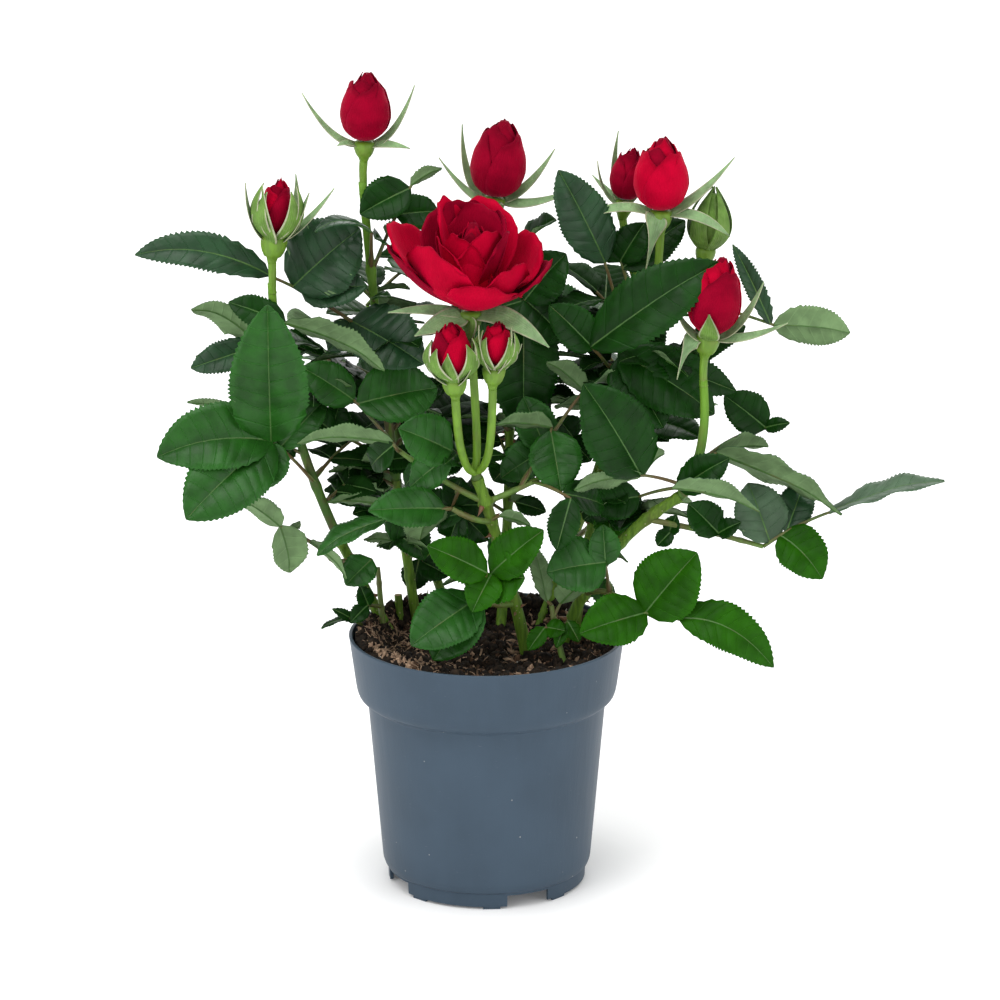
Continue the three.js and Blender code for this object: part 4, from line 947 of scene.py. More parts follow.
for number, (name, (foot, pull, top, r0, r1)) in enumerate(CANES.items()):
    bow = Bow((*foot, SOIL_TOP - 3), pull, top, FORWARD)
    stems["cane_" + name] = bow
    knots = [0.3 + 0.07 * (number % 3), 0.62, 0.86, 0.99]
    knots += [at for cane, at, _, _ in SHOOTS.values() if cane == name]
    limb(canes, bow, r0, r1, "cane_bark", 16, 56, relief=knotted(knots, number))
(stub_x, stub_y), stub_height, stub_radius = STUB
stub_foot = np.array((stub_x, stub_y, SOIL_TOP - 2), float)
stub_tip = np.array((stub_x - 1, stub_y + 1, SOIL_TOP + stub_height), float)
stub = Bow(stub_foot, (stub_foot + stub_tip) / 2, stub_tip, FORWARD)
limb(canes, stub, stub_radius, stub_radius * 0.9, "cane_bark", 16, 14, relief=knotted([0.5], 2))
limb(canes, stub, stub_radius * 0.8, stub_radius * 0.8, "cut_wood", 12, 1, span=(0.9, 1.012))

for number, (name, (pull, tip)) in enumerate(CROWNS.items()):
    below = stems["cane_" + name].end
    bow = Bow(below, pull, tip, FORWARD)
    stems[name + "_top"] = bow
    last = 1.3 if name.startswith("rear") else 1.9
    relief = knotted([row[1] for row in LEAVES if row[0] == name + "_top"], number + 9)
    limb(stalks, bow, CANES[name][4], last, "crown_stem", 12, 40, relief=relief)
for name, (cane, at, pull, tip) in SHOOTS.items():
    start = stems["cane_" + cane].at(at) if cane else (*at, SOIL_TOP - 2)
    bow = Bow(start, pull, tip, (0, -1, 0.01))
    stems[name] = bow
    limb(stalks, bow, 1.5, 1.1, "shoot", 10, 20, relief=knotted([0.5, 0.8], len(name)))


# ---------- blooms ----------


FURLED_THICKNESS = 0.44  # mm, of a furled petal
LOOSE_HALF = 0.24  # mm, half a loose petal's thickness
ROLL_RADIUS = 4.5  # mm, of a petal's rolled rim
GOLDEN_TURN = 137.5  # degrees between one petal of a bud and the next


def egg(t):
    """A furled bud's radius along it, as a share of the widest."""
    places = (0, 0.02, 0.12, 0.34, 0.56, 0.8, 1)
    radii = (0.0, 0.4, 0.8, 1.0, 0.93, 0.64, 0.3)
    here = np.interp(t, places, radii)
    below = np.interp(np.clip(t - 0.06, 0, 1), places, radii)
    above = np.interp(np.clip(t + 0.06, 0, 1), places, radii)
    return np.where(t < 0.05, here, (here + (below + above) / 2) / 2)


def petal_grid(rows, columns):
    """A petal's stations, from its foot, and columns, from edge to edge."""
    return np.meshgrid(np.linspace(0, 1, rows), np.linspace(-1, 1, columns), indexing="ij")


def petal_sheets(skin, outer, inner, station, column, kind):
    """A closed petal from its two sheets, of one finish."""

    def kinds(_):
        return kind, kind

    skin.leafy(outer, inner, np.stack([0.5 + 0.5 * column, station], -1), kinds)


def wrap(skin, bow, width, turn, span, top, inset, flare, kind, dice):
    """One petal wrapped round a bud. Its two edges lie at different depths, so petals overlap in a spiral."""
    station, column = petal_grid(20, 17)
    rim = top * (1 - 0.17 * np.abs(column) ** 2.2 + 0.025 * np.sin(6 * column + 9 * dice()))
    t = station * rim
    angle = turn + column * span * (1 - 0.28 * station**3)
    spiral = 0.75 * column
    radius = egg(t) * width / 2 - inset + spiral * np.minimum(1, t * 5)
    ripple = 0.6 + 0.5 * np.abs(column) + 0.3 * np.sin(5 * column + 6 * dice())
    lip = ease(0.82, 1.0, station) * flare * ripple
    radius = np.maximum(radius + lip, 0.5)
    point, _, side, normal = bow.frames(t)
    away = np.cos(angle)[..., None] * side + np.sin(angle)[..., None] * normal
    outer = point + radius[..., None] * away
    inner = point + np.maximum(radius - FURLED_THICKNESS, 0.2)[..., None] * away
    petal_sheets(skin, outer, inner, station, column, kind)


def furled(skin, bow, width, kinds, seed, petals=8, flare=1.0):
    """A bud: a tight heart and petals wrapped round it, each a little shorter than the one inside."""
    dice = seeded(seed)
    heart = [(max(0.4, egg(np.array(t)) * width / 2 - 2.2), t * 0.97) for t in np.linspace(0.01, 1, 12)]
    turned(skin, bow, heart, kinds[1])
    for k in range(petals):
        layer = petals - 1 - k
        top = 1.0 - 0.022 * k - 0.05 * dice()
        turn = math.radians(GOLDEN_TURN * k + 40 * dice())
        inset = 0.35 * layer + 0.1
        kind = kinds[0] if dice() > 0.35 else kinds[1]
        wrap(skin, bow, width, turn, math.radians(92), top, inset, flare * (0.3 + 0.5 * dice()), kind, dice)


def loose_petal(skin, bow, width, cup, roll, skew, kind, dice):
    """One open petal: spoon-shaped, with a rim that rolls back on both sides of its middle."""
    station, column = petal_grid(26, 21)
    phase = dice() * 6.3
    out = np.abs(column)
    frill = 0.02 * np.sin(5 * column + phase) + 0.012 * np.sin(11 * column + 2 * phase)
    rim = 1 - 0.24 * out**2.8 + skew * column + frill
    angle = math.radians(roll) * (0.7 + 0.9 * out * (1.2 - out) + 0.25 * np.sin(3 * column + phase))
    lip = ease(0.0, 1.0, (station - 0.74) / 0.26) * angle
    body = (1 - ROLL_RADIUS * angle / bow.length()) * rim
    u = np.clip(station / 0.8, 0, 1) * body
    u = np.where(station > 0.8, body, u)
    spread = 0.14 + 0.86 * np.sin(np.pi / 2 * np.clip(station / 0.66, 0, 1)) ** 0.9
    spread = spread * (1 - 0.12 * ease(0.7, 1, station))
    x = column * spread * width / 2
    lift = out**2 * spread * cup * width / 2 * (1.15 - 0.3 * station)
    edge = ease(0.72, 1.0, out) * ease(0.3, 0.75, station) * math.radians(roll) * 2.4
    wave = 0.55 * np.sin(4 * column + 6 * station + phase) * station**2
    point, along, side, normal = bow.frames(u)
    up = ROLL_RADIUS * np.sin(lip)
    away = -ROLL_RADIUS * (1 - np.cos(lip)) + lift - edge + wave
    middle = point + x[..., None] * side + up[..., None] * along + away[..., None] * normal
    thick = LOOSE_HALF * normal
    petal_sheets(skin, middle + thick, middle - thick, station, column, kind)


def between(first, second, angle):
    """The direction at an angle in degrees from the first towards the second."""
    return first * math.cos(math.radians(angle)) + second * math.sin(math.radians(angle))


def open_rose(skin, hub, axis, seed):
    """The open rose: a furled heart inside rings of loose petals."""
    dice = seeded(seed)
    right = unit(np.cross((0, 1, 0), axis))
    behind = np.cross(axis, right)
    for turn, length, width, first, last, cup, roll, skew, red in ROSE_PETALS:
        out = between(right, behind, turn)
        start = hub + axis * 2.2 + out * 3
        pull = start + between(axis, out, first) * length / 2
        bow = Bow(start, pull, pull + between(axis, out, last) * length / 2, axis - out)
        loose_petal(skin, bow, width, cup, roll, skew, "petal_" + red, dice)
    top = hub + axis * HEART_HEIGHT
    heart = Bow(hub + axis * 0.4, (hub + top) / 2, top, right)
    furled(skin, heart, HEART_WIDTH, ("petal_bright", "petal_dark"), seed + 1, petals=10, flare=2.6)


BUD_REDS = {"bud": ("petal_bright", "petal_dark"), "dark": ("petal_dark", "petal_dark")}
SEPAL_TURN = 0.5  # how far a sepal's face turns to the front
SEPAL_THICKNESS = 0.6  # mm
STALK_RADIUS = 1.7
# A hip's profile: below the stalk's end in mm, then as shares of its radius. Each with its place on the hip.
HIP_FOOT = ((1.7, -0.12), (2.05, 0.0), (2.5, 0.14))
HIP_FUNNEL = ((0.7, 0.2), (0.88, 0.36), (1.02, 0.58), (1.07, 0.8), (1.0, 0.95), (0.8, 1.02), (0.5, 1.04))
# Buds that sepals still clasp: how far the sepals bulge (mm), and their height as a share of the bud's.
CLASPED = {"left": (17, 0.9), "centre_left": (18.5, 0.72), "centre_right": (14, 0.8)}
# The clasping sepals: the turn about the bud, and the length as a share of the longest.
CLASPS = ((205, 1.0), (-132, 0.86), (-48, 0.92), (-20, 1.0), (80, 0.95))


def sepal(bow, width, fold, sides, margin="sepal_margin", rows=18):
    blade(flower_green, bow, width, sepal_breadth, SEPAL_THICKNESS, fold, sides, margin, rows)


def closed_bud(bow, hub, apex, axis, side, width):
    """A green bud, with its five sepals shut round it."""
    body = [(egg(np.array(t)) * width / 2 - 0.5, t) for t in np.linspace(0.02, 0.99, 16)]
    turned(flower_green, bow, body, "sepal")
    for k in range(5):
        out = between(side, np.cross(axis, side), 72 * k + 20)
        pull = hub + out * (width / 2) * 2.05 + axis * 9
        hugging = Bow(hub + out * 2 - axis, pull, apex + out * 0.8 + axis * 3, out)
        sepal(hugging, 9.5, -0.12, ("sepal", "sepal"), "sepal")


def clasp_bud(hub, apex, axis, side, width, radius, bulge, share):
    """The sepals that stand round a bud which shows its petals."""
    tall = np.linalg.norm(apex - hub)
    for turn, length in CLASPS:
        out = between(side, np.cross(axis, side), turn)
        tip = hub + axis * tall * share * length + out * width * 0.5
        clasp = Bow(hub + out * radius * 0.7 - axis, hub + out * bulge + axis * tall * 0.3, tip, out)
        sepal(clasp, 11, -0.2, ("sepal", "sepal_inner"))


flowers = {"open_rose": Skin(), "bud_petals": Skin()}
for number, (name, row) in enumerate(BLOOMS.items()):
    sort, crown, place, pull, hub, apex, width, (radius, height), sepals = row
    hub = np.array(hub, float)
    apex = np.array(apex, float)
    axis = unit(apex - hub)
    side = unit(np.cross((0, 1, 0), axis))
    foot = hub - axis * height
    stalk = Bow(stems[crown + "_top"].at(place), pull, foot + axis * 0.5, side)
    limb(flower_green, stalk, STALK_RADIUS, 1.9, "bloom_stalk", 14, 30, relief=knotted([0.0, 0.02], number))
    hip = [*HIP_FOOT, *((radius * share, place) for share, place in HIP_FUNNEL)]
    turned(flower_green, Bow(foot, (foot + hub) / 2, hub, side), hip, "bloom_stalk")
    for dx, dy, dz, breadth, out, rise in sepals:
        away = unit(np.array((dx, dy, 0), float))
        root = hub + away * radius * 0.82 - axis * 1.6
        face = axis - 0.9 * away + np.array((0, -SEPAL_TURN, 0))
        bow = Bow(root, hub + away * out + axis * rise, hub + (dx, dy, dz), face)
        sepal(bow, breadth * 1.1, 0.2, ("sepal_inner", "sepal"), rows=16)
    bow = Bow(hub + axis * (-1 if sort == "closed" else 0.6), (hub + apex) / 2, apex, side)
    if name in CLASPED:
        clasp_bud(hub, apex, axis, side, width, radius, *CLASPED[name])
    if sort == "closed":
        closed_bud(bow, hub, apex, axis, side, width)
    elif sort == "open":
        open_rose(flowers["open_rose"], hub, axis, 7)
    else:
        furled(flowers["bud_petals"], bow, width, BUD_REDS[sort], 20 + number)


# ---------- the leaves' places ----------


STALK_FACE = (0.02, -0.03, 1)


def leaf(name, node, at, end, green, leaflets):
    """One compound leaf: a stalk from its stem, and leaflets that start along it. A leaflet's last number,
    where it has one, lifts its middle."""
    start = stems[node].at(at)
    end = np.array(end, float)
    swing = SWUNG.get((name, "stalk"), 0)
    if swing is None:
        return
    pull = (start + end) / 2
    pull[2] += np.linalg.norm(end - start) * RACHIS_ARCH
    pull[1] += swing
    rachis = Bow(start, pull, end, unit(np.array(STALK_FACE)))
    limb(stalks, rachis, RACHIS_RADIUS * 1.15, RACHIS_RADIUS * 0.8, "leaf_stalk", 8, 14)
    foot = min(0.32, 9 / max(rachis.length(), 1))
    wing = Bow(rachis.at(0.01), rachis.at(foot / 2), rachis.at(foot), STALK_FACE)
    blade(stalks, wing, 4.6, stipule_breadth, 0.5, 0.25, ("shoot", "shoot"), "shoot", 8, WING_COLUMNS)
    dice = seeded(sum(ord(letter) for letter in name) * 3 + int(abs(end[0])) * 5)
    for number, (place, x, y, z, width, face, *lift) in enumerate(leaflets):
        swing = SWUNG.get((name, number), 0)
        if swing is None:
            continue
        root = rachis.at(place)
        tip = np.array((x, y + swing, z), float)
        chord = tip - root
        length = np.linalg.norm(chord)
        chord /= length
        lifted = unit(np.array(face, float) - np.dot(face, chord) * chord)
        base = root - chord * 0.6
        pull = (base + tip) / 2 + lifted * length * LEAF_ARCH
        pull[2] += sum(lift)
        bow = Bow(base, pull, tip, face)
        leaflet(leaf_skin[node], bow, width, "leaf_" + LEAFLET_GREENS.get((name, number), green), dice)


for number, row in enumerate(LEAVES):
    leaf(f"leaf {number}", *row)
for number, row in enumerate(INNER_LEAVES):
    leaf(f"inner {number}", *row)

# A spray's paired leaflets: the place on the stalk, the angle from it in degrees, and the length as a share
# of the end leaflet's. The second pair's rows also have how far the tips droop.
PAIR_PLACE = 0.8
PAIR_ANGLE = 58
PAIR_SHARE = 0.82
SECOND_PAIR_LEAVES = 4  # the first leaves of a spray have two pairs
SECOND_PAIR = ((0.48, 64, 0.6, 0.15), (0.48, -64, 0.6, 0.15))
LEAFLET_WIDTH = 0.62  # of a spray's leaflet, as a share of its length


def spray(number, node, count, first, last, heading, turn, reach, size):
    """Leaves that grow along a stem by a seeded rule."""
    draw = seeded(len(node) * 31 + count * 7 + heading)
    tilt = seeded(number + 50)
    filler = number < len(FILLERS)
    lean = 1.1 if filler else 2.6
    for i in range(count):
        at = first + (last - first) * i / max(1, count - 1)
        p = stems[node].at(at)
        way = math.radians(heading + turn * i + (draw() - 0.5) * 24)
        rise = math.radians(14 + draw() * 34)
        out = np.array((math.cos(way) * math.cos(rise), math.sin(way) * math.cos(rise), math.sin(rise)))
        across = np.array((-math.sin(way), math.cos(way), 0))
        end = p + out * reach * (0.9 + draw() * 0.3)
        length = size * (0.85 + draw() * 0.3)
        face = ((tilt() - 0.5) * lean - out[0] * 0.3, (tilt() - 0.5) * lean - out[1] * 0.3, 1)
        spread = [
            (1, (draw() - 0.5) * 20, 1, 0.2 + draw() * 0.3),
            (PAIR_PLACE, PAIR_ANGLE + draw() * 12, PAIR_SHARE, draw() * 0.3),
            (PAIR_PLACE, -PAIR_ANGLE - draw() * 12, PAIR_SHARE, draw() * 0.3),
        ]
        if i < SECOND_PAIR_LEAVES:
            spread += SECOND_PAIR
        leaflets = []
        for place, angle, share, droop in spread:
            tip = p + (end - p) * place + between(out, across, angle) * length * share
            tip[2] -= length * share * droop
            leaflets.append((place, *tip, length * share * LEAFLET_WIDTH, face))
        # Most of these leaves take leaf_shade, a painted shade among the leaves; every third one and those on
        # the rear stems take leaf_deep.
        green = "deep" if i % 3 == 1 or node.startswith("rear") else "shade"
        leaf(f"{'filler' if filler else 'inner spray'} {node} {i}", node, at, end, green, leaflets)


for number, row in enumerate(FILLERS + INNER_SPRAYS):
    spray(number, *row)

GREENS = ("deep", "mid", "fresh", "hazy", "grey", "shade")
LEAF_KINDS = ["leaf_" + kind for kind in (*GREENS, "underside", "rib")]
for name, skin in leaves.items():
    skin.make(name, chosen(*LEAF_KINDS), "foliage", LEAF_GROUPS[name])
stalks.make("leaf_stalks_and_shoots", chosen("shoot", "crown_stem", "leaf_stalk"), "foliage", ())
green_kinds = chosen("bloom_stalk", "sepal", "sepal_inner", "sepal_margin")
flower_green.make("bloom_stalks_and_sepals", green_kinds, "foliage", ())
cane_nodes = ["cane_" + name for name in CANES] + ["cut_stub"]
bark_piece = canes.make("canes", chosen("cane_bark", "cut_wood"), "cane", cane_nodes, sharp=50)
petal_kinds = chosen("petal_bright", "petal_dark")
flowers["open_rose"].make("open_rose", petal_kinds, "petals", ["petals_centre"])
buds = ["petals_" + name for name, row in BLOOMS.items() if row[0] in BUD_REDS]
flowers["bud_petals"].make("bud_petals", petal_kinds, "petals", buds)

# ---------- the pot ----------


def rounded(corners, steps=4):
    """A profile of (radius, height, rounding) with each corner turned to an arc of a few points."""
    points = []
    for i, (r, z, rounding) in enumerate(corners):
        if not rounding:
            points.append((r, z))
            continue
        here = np.array((r, z), float)
        before = unit(np.array(corners[i - 1][:2], float) - here) * rounding
        after = unit(np.array(corners[(i + 1) % len(corners)][:2], float) - here) * rounding
        for k in range(steps + 1):
            t = k / steps
            points.append(tuple(here + before * (1 - t) ** 2 + after * t * t))
    return points


def lathed(name, profile, sides):
    """A closed round body from a profile that starts and ends on the axis."""
    rings = [(r, z) for r, z in profile if r > 0]
    points = [(r * math.cos(a), r * math.sin(a), z) for r, z in rings for a in around(sides)]
    low = len(points)
    high = low + 1
    last = low - sides
    points += [(0, 0, profile[0][1]), (0, 0, profile[-1][1])]
    faces = []
    for i in range(len(rings) - 1):
        faces += ring_faces(i * sides, (i + 1) * sides, sides)
    for j in range(sides):
        k = (j + 1) % sides
        faces.append((low, k, j))
        faces.append((high, last + j, last + k))
    return body_from(name, [tuple(c * MM for c in p) for p in points], faces)


BOX_FACES = [(0, 3, 2, 1), (4, 5, 6, 7), (0, 1, 5, 4), (1, 2, 6, 5), (2, 3, 7, 6), (3, 0, 4, 7)]


def block(width, depth, height, x, z, angle):
    """The shell of a block whose middle lies at x from the axis, turned round it, in metres."""
    c = math.cos(math.radians(angle))
    s = math.sin(math.radians(angle))
    corners = []
    for dz in (-height / 2, height / 2):
        for dx, dy in ((-1, -1), (1, -1), (1, 1), (-1, 1)):
            px = x + dx * width / 2
            py = dy * depth / 2
            corners.append(((px * c - py * s) * MM, (px * s + py * c) * MM, (z + dz) * MM))
    return corners, BOX_FACES


def drum(radius, height, x, z, angle, sides=20):
    """The shell of an upright drum that stands at x from the axis, turned round it, in metres."""
    cx = x * math.cos(math.radians(angle))
    cy = x * math.sin(math.radians(angle))
    corners = []
    for dz in (-height / 2, height / 2):
        for k in range(sides):
            a = 2 * math.pi * k / sides
            px = cx + radius * math.cos(a)
            py = cy + radius * math.sin(a)
            corners.append((px * MM, py * MM, (z + dz) * MM))
    return corners, ring_faces(0, sides, sides) + [tuple(range(sides))[::-1], tuple(range(sides, 2 * sides))]


def joined(name, shells):
    """One mesh object from several closed shells of (points, faces)."""
    points = []
    faces = []
    for shell, quads in shells:
        faces += [tuple(len(points) + i for i in quad) for quad in quads]
        points += shell
    return body_from(name, points, faces)


def carve(body, tool, operation):
    """Cuts a tool out of a body, or joins it on, and drops the tool."""
    cut = body.modifiers.new("carve", "BOOLEAN")
    cut.operation = operation
    cut.solver = "EXACT"
    cut.object = tool
    bake(body)
    bpy.data.objects.remove(tool)


def bake(body):
    """Turns a body and its modifiers into a plain mesh."""
    bpy.context.view_layer.update()
    evaluated = body.evaluated_get(bpy.context.evaluated_depsgraph_get())
    mesh = bpy.data.meshes.new_from_object(evaluated)
    body.modifiers.clear()
    body.data = mesh


POT_PROFILE = [
    (0, 0, 0),
    (BOSS_RADIUS, 0, 0.6),
    (BOSS_RADIUS + 1, FLOOR_HEIGHT, 0.6),
    (FOOT_RING_RADIUS - WALL, FLOOR_HEIGHT, 0.4),
    (FOOT_RING_RADIUS - WALL, PAD_HEIGHT, 0.4),
    (FOOT_RING_RADIUS, PAD_HEIGHT, 0.4),
    (FOOT_RING_RADIUS + 0.3, FLOOR_HEIGHT, 0),
    (BODY_FOOT_RADIUS - 0.7, FLOOR_HEIGHT + 0.9, 0.5),
    (BODY_FOOT_RADIUS + 0.2, FLOOR_HEIGHT + 3.6, 0.9),
    (BODY_TOP_RADIUS, 82.8, 0.8),
    (COLLAR_RADIUS - 0.9, POT_HEIGHT - COLLAR_HEIGHT - 1.2, 1.6),
    (COLLAR_RADIUS + 0.1, POT_HEIGHT - COLLAR_HEIGHT + 2.0, 1.4),
    (RIM_RADIUS - 0.3, POT_HEIGHT - 1.6, 0.4),
    (RIM_RADIUS, POT_HEIGHT, 0.5),
    (RIM_RADIUS - 1.6, POT_HEIGHT, 0.5),
    (COLLAR_RADIUS - WALL, POT_HEIGHT - COLLAR_HEIGHT - 0.6, 0.8),
    (BODY_TOP_RADIUS - WALL, 82, 0.8),
    (BODY_FOOT_RADIUS - WALL - 1, FLOOR_HEIGHT + WALL, 0.8),
    (0, FLOOR_HEIGHT + WALL, 0),
]


def make_pot():
    pot = lathed("nursery_pot", rounded(POT_PROFILE), 160)
    width = 2 * FOOT_RING_RADIUS * math.sin(math.radians(NOTCH_ANGLE / 2))
    gap = FLOOR_HEIGHT - 0.6
    cuts = [block(9, width, gap, FOOT_RING_RADIUS, gap / 2 - 0.3, a) for a in NOTCHES]
    cuts += [drum(DRAIN_RADIUS, 6, DRAIN_REACH, FLOOR_HEIGHT + WALL / 2, a) for a in NOTCHES]
    carve(pot, joined("gaps", cuts), "DIFFERENCE")
    pad = (WALL - 0.4, 7.5, 2, FOOT_RING_RADIUS - WALL / 2 - 0.2, 1)
    pads = [block(*pad, middle + step) for middle in NOTCHES for step in (-PAD_ANGLE, PAD_ANGLE)]
    carve(pot, joined("pads", pads), "UNION")
    pot.data.materials.clear()
    pot.data.materials.append(FINISHES["pot_plastic"])
    pot.data.shade_smooth()
    pot.data.set_sharp_from_angle(angle=math.radians(38))
    settle(pot, ["pot"])


make_pot()


# ---------- the soil ----------


def ripple(x, y, size, phase):
    """Soft random hills from crossed waves."""
    total = np.zeros_like(x)
    for k in range(5):
        way = phase + 2.4 * k
        total += np.sin((x * math.cos(way) + y * math.sin(way)) / size * (1 + 0.37 * k) + 1.7 * k * phase)
    return total / 5


SOIL_HEAP = 8.5  # mm, how much higher the soil lies beside the pot's wall at the back left than at the front
SOIL_OVERLAP = 0.7  # mm, how far the soil's top reaches into the wall, which widens upwards


def soil_height(x, y):
    """The soil's top: ruffled, raised beside the pot's wall, and highest at the back left."""
    r = np.hypot(x, y)
    edge = ease(SOIL_PLATEAU - 8, SOIL_PLATEAU + 2, r)
    heap = 0.5 + 0.5 * (0.8 * y - 0.6 * x) / np.maximum(r, 1)
    hills = 1.7 * ripple(x, y, 9, 0.7) + 1.3 * ripple(x, y, 3.4, 2.1) + 0.8 * ripple(x, y, 1.5, 4.0)
    high = SOIL_TOP - 0.9 + (SOIL_EDGE - SOIL_TOP - 1 + SOIL_HEAP * heap) * edge + hills * (1 - 0.3 * edge)
    beside_the_wall = POT_HEIGHT - 1.2 + 0.75 * (COLLAR_RADIUS + SOIL_OVERLAP - r) + 0.3 * hills
    return np.minimum(high, beside_the_wall)


def make_soil():
    rings = 44
    sides = 132
    reach = COLLAR_RADIUS + SOIL_OVERLAP
    turn = around(sides)
    radii = np.linspace(0.6, reach, rings)
    x = radii[:, None] * np.cos(turn)
    y = radii[:, None] * np.sin(turn)
    top = np.stack([x, y, soil_height(x, y)], -1)
    walls = [
        (COLLAR_RADIUS - WALL - 0.6, POT_HEIGHT - COLLAR_HEIGHT + 2),
        (BODY_TOP_RADIUS - WALL - 0.8, 81.6),
    ]
    walls += [(BODY_FOOT_RADIUS - WALL - 1.6, FLOOR_HEIGHT + WALL + 0.3), (1, FLOOR_HEIGHT + WALL + 0.3)]
    lower = [np.stack([r * np.cos(turn), r * np.sin(turn), np.full(sides, z)], -1) for r, z in walls]
    skin = Skin()
    skin.tube(np.concatenate([top, np.array(lower)])[::-1], "peat")
    return skin.make("soil_block", chosen("peat"), "soil", ["soil"], sharp=60)


def corners_of(piece):
    """The piece's points in mm: x, y and z."""
    points = np.zeros(len(piece.data.vertices) * 3)
    piece.data.vertices.foreach_get("co", points)
    return points.reshape(-1, 3).T / MM


def write_share(piece, name, share):
    """Keeps how much of a scattered thing lies at each point of the piece."""
    layer = piece.data.attributes.new(name, "FLOAT", "POINT")
    layer.data.foreach_set("value", share.astype(np.float32))


def ground_map(piece, name, middle, reach, rest, room):
    """How much of a scattered thing lies at each point: 1 round a middle, rest elsewhere, none off the soil's
    top or nearer than room (mm) to the pot's wall."""
    x, y, z = corners_of(piece)
    near = 1 - ease(reach * 0.4, reach, np.hypot(x - middle[0], y - middle[1]))
    share = np.maximum(near, rest) * ease(SOIL_TOP - 9, SOIL_TOP - 7, z)
    limit = COLLAR_RADIUS + 0.6 - room
    write_share(piece, name, share * (1 - ease(limit - 1.5, limit, np.hypot(x, y))))


class Grower(Tree):
    """A Geometry Nodes tree that scatters a small thing over a surface."""

    INPUTS = (
        ("Surface", "NodeSocketGeometry"),
        ("Thing", "NodeSocketObject"),
        ("Density", "NodeSocketFloat"),
        ("Share", "NodeSocketString"),
        ("Smallest", "NodeSocketFloat"),
        ("Largest", "NodeSocketFloat"),
        ("Lean", "NodeSocketFloat"),
        ("Seed", "NodeSocketInt"),
        ("Finish", "NodeSocketMaterial"),
    )

    def __init__(self):
        self.tree = bpy.data.node_groups.new("scatter_over_a_surface", "GeometryNodeTree")
        self.named = {}
        for name, kind in self.INPUTS:
            socket = self.tree.interface.new_socket(name, in_out="INPUT", socket_type=kind)
            self.named[name] = socket.identifier
        self.tree.interface.new_socket("Scattered", in_out="OUTPUT", socket_type="NodeSocketGeometry")
        given = self.add("NodeGroupInput").outputs
        share = self.add("GeometryNodeInputNamedAttribute", {"data_type": "FLOAT"}, {"Name": given["Share"]})
        density = self.times(given["Density"], share.outputs[0])
        inputs = {"Mesh": given["Surface"], "Density": density, "Seed": given["Seed"]}
        spots = self.add("GeometryNodeDistributePointsOnFaces", {}, inputs)
        normal = {"Vector": spots.outputs["Normal"]}
        upright = self.add("FunctionNodeAlignRotationToVector", {"axis": "Z"}, normal)
        back = self.times(given["Lean"], -1.0)
        low = self.add("ShaderNodeCombineXYZ", {}, {0: back, 1: back, 2: -math.pi})
        high = self.add("ShaderNodeCombineXYZ", {}, {0: given["Lean"], 1: given["Lean"], 2: math.pi})
        limits = {0: low.outputs[0], 1: high.outputs[0]}
        tilt = self.add("FunctionNodeRandomValue", {"data_type": "FLOAT_VECTOR"}, limits)
        turns = {0: upright.outputs[0], 1: tilt.outputs[0]}
        turned_to = self.add("FunctionNodeRotateRotation", {"rotation_space": "LOCAL"}, turns)
        limits = {2: given["Smallest"], 3: given["Largest"], "Seed": given["Seed"]}
        size = self.add("FunctionNodeRandomValue", {"data_type": "FLOAT"}, limits)
        thing = self.add("GeometryNodeObjectInfo", {}, {"Object": given["Thing"]})
        inputs = {"Points": spots.outputs["Points"], "Instance": thing.outputs["Geometry"]}
        inputs |= {"Rotation": turned_to.outputs[0], "Scale": size.outputs[1]}
        placed = self.add("GeometryNodeInstanceOnPoints", {}, inputs)
        real = self.add("GeometryNodeRealizeInstances", {}, {0: placed.outputs[0]})
        inputs = {"Geometry": real.outputs[0], "Material": given["Finish"]}
        finished = self.add("GeometryNodeSetMaterial", {}, inputs)
        self.add("NodeGroupOutput", {}, {0: finished.outputs[0]})

    def times(self, first, second):
        return self.add("ShaderNodeMath", {"operation": "MULTIPLY"}, {0: first, 1: second}).outputs[0]

    def scatter(self, name, surface, thing, slot, **values):
        """A new piece of many copies of a thing over a surface. Sizes are in metres."""
        piece = bpy.data.objects.new(name, surface.data.copy())
        bpy.context.scene.collection.objects.link(piece)
        growth = piece.modifiers.new("growth", "NODES")
        growth.node_group = self.tree
        for key, value in {"Thing": thing, **values}.items():
            growth[self.named[key]] = value
        bake(piece)
        piece.data.name = name
        piece.data.shade_smooth()
        bpy.data.objects.remove(thing)
        settle(piece)


def lump(name, seed, squash, rings=4, sides=6):
    """A rough pebble about 1 m across, for scattering."""
    dice = seeded(seed)
    points = []
    for h in np.linspace(-0.42, 0.42, rings):
        r = math.sqrt(max(0.02, 0.25 - h * h))
        ring = []
        for j in range(sides):
            far = r * (0.75 + 0.5 * dice())
            turn = 2 * math.pi * j / sides
            ring.append((far * math.cos(turn), far * math.sin(turn) * squash[0], h * squash[1]))
        points.append(ring)
    return thing_from(name, np.array(points))


def strand(name, seed, bend, width, steps=7, sides=4):
    """A bent fibre about 1 m long, for scattering."""
    dice = seeded(seed)
    t = np.linspace(0, 1, steps)
    x = t - 0.5
    y = bend * np.sin(t * 3.1 + dice())
    z = 0.35 * bend * np.sin(t * 5.0 + 2 * dice()) + 0.05
    r = width * (0.45 + 0.55 * np.sin(np.pi * np.clip(t, 0.04, 0.96)))
    turn = around(sides) + 0.5
    points = np.stack([
        np.repeat(x[:, None], sides, 1),
        y[:, None] + r[:, None] * np.cos(turn)[None],
        z[:, None] + r[:, None] * 0.45 * np.sin(turn)[None],
    ], -1)
    return thing_from(name, points)


def thing_from(name, points):
    """An object from rings of points, in metres."""
    skin = Skin()
    skin.tube(points, "thing")
    return body_from(name, np.concatenate(skin.points).tolist(), skin.faces)


